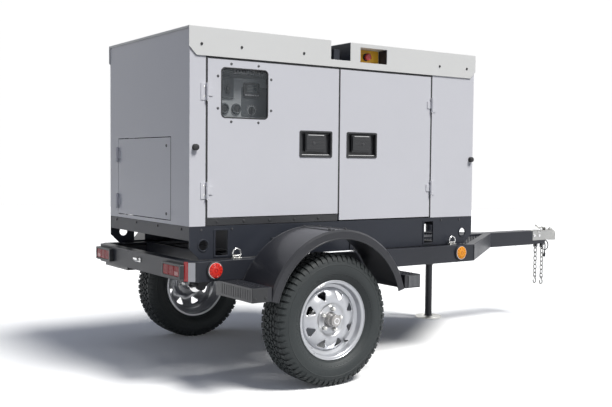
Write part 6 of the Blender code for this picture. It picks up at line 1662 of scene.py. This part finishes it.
def engine_dress():
    """Filter, pump lines, manifold runners, cover bolts, oil filter, starter and dipstick of the engine."""
    shape = bmesh.new()
    for k in range(3):
        x = -0.625 + 0.095 * k
        sweep(shape, smooth_line([(x, -0.108, 1.335), (x, -0.150, 1.330), (x, -0.165, 1.320)], 0.012),
              0.017, 14)
    block(shape, (-0.700, -0.088, 1.4235), (-0.300, 0.088, 1.4300))
    lathe(shape, [(0, 0), (0.026, 0), (0.028, 0.004), (0.028, 0.016), (0.022, 0.020), (0, 0.021)],
          Matrix.Translation((-0.620, 0, 1.4290)), 24)
    sweep(shape, [(-0.700, 0.215, 0.995), (-0.560, 0.215, 0.995)], 0.042, 24)
    sweep(shape, [(-0.690, 0.205, 1.062), (-0.600, 0.205, 1.062)], 0.022, 18)
    show("engine_castings", shape, ENGINE, bevel=0.002)
    shape = bmesh.new()
    for x in (-0.690, -0.595, -0.500, -0.405, -0.310):
        for y in (-0.076, 0.076):
            hex_bolt(shape, facing((x, y, 1.4300), (0, 0, 1), (0, 1, 0)), 0.0065, 0.0055)
    for k in range(7):
        for y, way in ((-0.1255, -1), (0.1255, 1)):
            hex_bolt(shape, facing((-0.680 + 0.060 * k, y, 0.950), (0, way, 0)), 0.006, 0.005)
    show("engine_bolts", shape, ZINC, angle=30)
    shape = bmesh.new()
    for k in range(3):
        x, top = -0.560 + 0.028 * k, -0.610 + 0.095 * k
        run = [(x, -0.185, 1.178), (x, -0.205, 1.215), (top, -0.212, 1.262), (top + 0.030, -0.205, 1.372),
               (top + 0.030, -0.128, 1.388), (top + 0.030, -0.105, 1.372)]
        sweep(shape, smooth_line(run, 0.010), 0.0032, 8)
    show("injection_lines", shape, STEEL, angle=60)
    shape = bmesh.new()
    place = facing((-0.385, -0.150, 1.010), (0, -1, 0))
    lathe(shape, [(0, 0), (0.040, 0), (0.042, 0.004), (0.042, 0.086), (0.038, 0.094), (0.026, 0.098),
                  (0, 0.098)], place, 36)
    for k in range(20):
        block(shape, (-0.0018, 0.0405, 0.052), (0.0018, 0.0432, 0.090), spun(place, TAU * k / 20))
    show("oil_filter", shape, YELLOW, bevel=0.001)
    shape = bmesh.new()
    place = Matrix.Translation((-0.720, -0.300, 1.475)) @ Matrix.Rotation(math.pi / 2, 4, "Y")
    lathe(shape, [(0, 0), (0.060, 0), (0.070, 0.008), (0.072, 0.020), (0.072, 0.082), (0.076, 0.086),
                  (0.076, 0.098),
                  (0.072, 0.102), (0.072, 0.262), (0.066, 0.276), (0.032, 0.284), (0.030, 0.310),
                  (0, 0.310)], place, 40)
    for k in range(3):
        block(shape, (0.072, -0.010, 0.070), (0.081, 0.010, 0.112), spun(place, TAU * k / 3 + 0.6))
    block(shape, (-0.640, -0.300, 1.330), (-0.480, -0.292, 1.420))
    block(shape, (-0.640, -0.300, 1.330), (-0.480, -0.186, 1.337))
    show("air_filter", shape, PLASTIC, bevel=0.0012)
    shape = bmesh.new()
    line = smooth_line([(-0.412, -0.300, 1.475), (-0.370, -0.300, 1.475), (-0.335, -0.270, 1.450),
                        (-0.330, -0.200, 1.400), (-0.345, -0.150, 1.350)], 0.012)
    sweep(shape, line, 0.027, 20)
    for k in range(1, len(line) - 1, 2):
        lathe(shape, [(0.0265, -0.003), (0.0300, -0.001), (0.0300, 0.001), (0.0265, 0.003)],
              aim(line[k], line[k + 1]), 20)
    upper = [(-0.268, 0.060, 1.345), (-0.225, 0.060, 1.380), (-0.180, 0.060, 1.500), (-0.060, 0.060, 1.585),
             (0.100, 0.060, 1.600), (0.208, 0.060, 1.600)]
    lower = [(-0.268, -0.110, 1.000), (-0.150, -0.150, 0.960), (0.040, -0.210, 0.900),
             (0.206, -0.240, 0.880)]
    for run in (upper, lower):
        sweep(shape, smooth_line(run, 0.020), 0.021, 18)
    show("engine_hoses", shape, RUBBER, angle=50)
    shape = bmesh.new()
    clamp = [(0.0215, -0.006), (0.0290, -0.006), (0.0290, 0.006), (0.0215, 0.006)]
    for spot, way in (((-0.250, 0.060, 1.357), (1, 0, 0.8)), ((0.190, 0.060, 1.600), (1, 0, 0)),
                      ((0.188, -0.236, 0.884), (1, -0.2, -0.1)), ((-0.398, -0.300, 1.475), (1, 0, 0))):
        lathe(shape, clamp, facing(spot, Vector(way).normalized()), 24, closed=True)
    line = smooth_line([(-0.450, 0.130, 1.020), (-0.450, 0.185, 1.120), (-0.440, 0.190, 1.300)], 0.02)
    sweep(shape, line, 0.004, 8)
    show("hose_clamps", shape, ZINC, angle=50)


def join_rings(shape, rings):
    """Faces between rings of as many corners each, and from the last ring back to the first."""
    for ring, following in zip(rings, rings[1:] + rings[:1]):
        for k in range(len(ring)):
            m = (k + 1) % len(ring)
            shape.faces.new((ring[k], ring[m], following[m], following[k]))


def belt_and_shroud():
    """The fan belt with its pulley ring, and the shroud between the fan and the radiator."""
    x = ENGINE_NOSE + 0.026
    lower, upper, reach = 0.0560, 0.0500, FAN - SHAFT
    lean = math.asin((lower - upper) / reach)
    loop = []
    for k in range(17):
        angle = -lean + math.pi - (math.pi - 2 * lean) * k / 16
        loop.append((upper * math.cos(angle), FAN + upper * math.sin(angle)))
    for k in range(17):
        angle = lean - (math.pi + 2 * lean) * k / 16
        loop.append((lower * math.cos(angle), SHAFT + lower * math.sin(angle)))
    shape = bmesh.new()
    rows = []
    for swell, offset in ((0.0, -0.007), (0.0075, -0.009), (0.0075, 0.009), (0.0, 0.007)):
        row = []
        for y, z in loop:
            centre = SHAFT if z < (SHAFT + FAN) / 2 else FAN
            out = Vector((y, z - centre)).normalized()
            row.append(shape.verts.new((x + offset, y + out.x * swell, z + out.y * swell)))
        rows.append(row)
    join_rings(shape, rows)
    show("fan_belt", shape, RUBBER, angle=50)
    shape = bmesh.new()
    pulley = [(0.0415, -0.012), (0.0580, -0.012), (0.0580, -0.0095), (0.0495, -0.006), (0.0495, 0.006),
              (0.0580, 0.0095), (0.0580, 0.012), (0.0415, 0.012)]
    lathe(shape, pulley, Matrix.Translation((x, 0, FAN)) @ Matrix.Rotation(math.pi / 2, 4, "Y"), 40,
          closed=True)
    show("fan_pulley_ring", shape, STEEL, BODY_OF["cooling_fan"], angle=40)
    shape = bmesh.new()
    # x of the ring, how square it is, and how far in it lies: outside first, then back along the inside
    stations = [(-0.112, 0.0, 0.0), (-0.070, 0.0, 0.0), (0.150, 1.0, 0.0), (0.2100, 1.0, 0.0),
                (0.2100, 1.0, -0.004), (0.150, 1.0, -0.004), (-0.068, 0.0, -0.004), (-0.112, 0.0, -0.004)]
    rows = []
    for station, square, lift in stations:
        row = []
        for c, d in circle(1.0, 48):
            stretch = 1 / max(abs(c) / 0.292, abs(d) / 0.296)
            radius = 0.222 * (1 - square) + stretch * square + lift
            row.append(shape.verts.new((station, radius * c, FAN + radius * d - 0.012 * square)))
        rows.append(row)
    join_rings(shape, rows)
    show("fan_shroud", shape, PLASTIC, angle=40)


def bay_wiring():
    """Looms and cables in corrugated sleeve, battery clamps, and radiator fins."""
    shape = bmesh.new()
    paths = (
        ([(-1.350, -0.330, 1.328), (-1.350, -0.310, 1.290), (-1.250, -0.230, 1.345),
          (-1.130, -0.090, 1.345)], 0.013),
        ([(-1.200, -0.330, 1.328), (-1.190, -0.330, 1.280), (-1.000, -0.330, 1.240),
          (-0.780, -0.290, 1.200),
          (-0.590, -0.235, 1.150)], 0.010),
        ([(-1.450, -0.340, 1.328), (-1.450, -0.340, 1.100), (-1.455, -0.300, 0.900)], 0.010),
    )
    for points, radius in paths:
        line = smooth_line(points, 0.014)
        sweep(shape, line, radius, 12)
        rib = [(radius * 0.98, -0.003), (radius * 1.12, -0.0015), (radius * 1.12, 0.0015),
               (radius * 0.98, 0.003)]
        for here, following in zip(line, line[1:]):
            lathe(shape, rib, aim(here, following), 12)
    show("bay_looms", shape, PLASTIC, angle=50)
    low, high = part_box("battery")
    post_y, top = high[1] - 0.135, high[2]
    leads = (("positive", high[0] - 0.040, STOP_RED, 1), ("negative", low[0] + 0.040, RUBBER, -1))
    for tone, x, material, way in leads:
        shape = bmesh.new()
        block(shape, (x - 0.014, post_y - 0.022, top - 0.018), (x + 0.014, post_y + 0.016, top + 0.004))
        run = [(x, post_y - 0.020, top - 0.006), (x, post_y - 0.060, top + 0.010),
               (x + 0.05 * way, post_y - 0.110, top - 0.060), (x + 0.08 * way, post_y - 0.120, top - 0.150)]
        sweep(shape, smooth_line(run, 0.012), 0.0075, 12)
        show(f"battery_lead_{tone}", shape, material, bevel=0.0015)
    shape = bmesh.new()
    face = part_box("radiator")[0][0]
    for k in range(46):
        z = 0.925 + 0.0135 * k
        block(shape, (face + 0.0035, -0.292, z), (face + 0.0068, 0.292, z + 0.0050))
    show("radiator_fins", shape, ALUMINIUM)


door_foam()
generator_dress()
engine_dress()
belt_and_shroud()
bay_wiring()
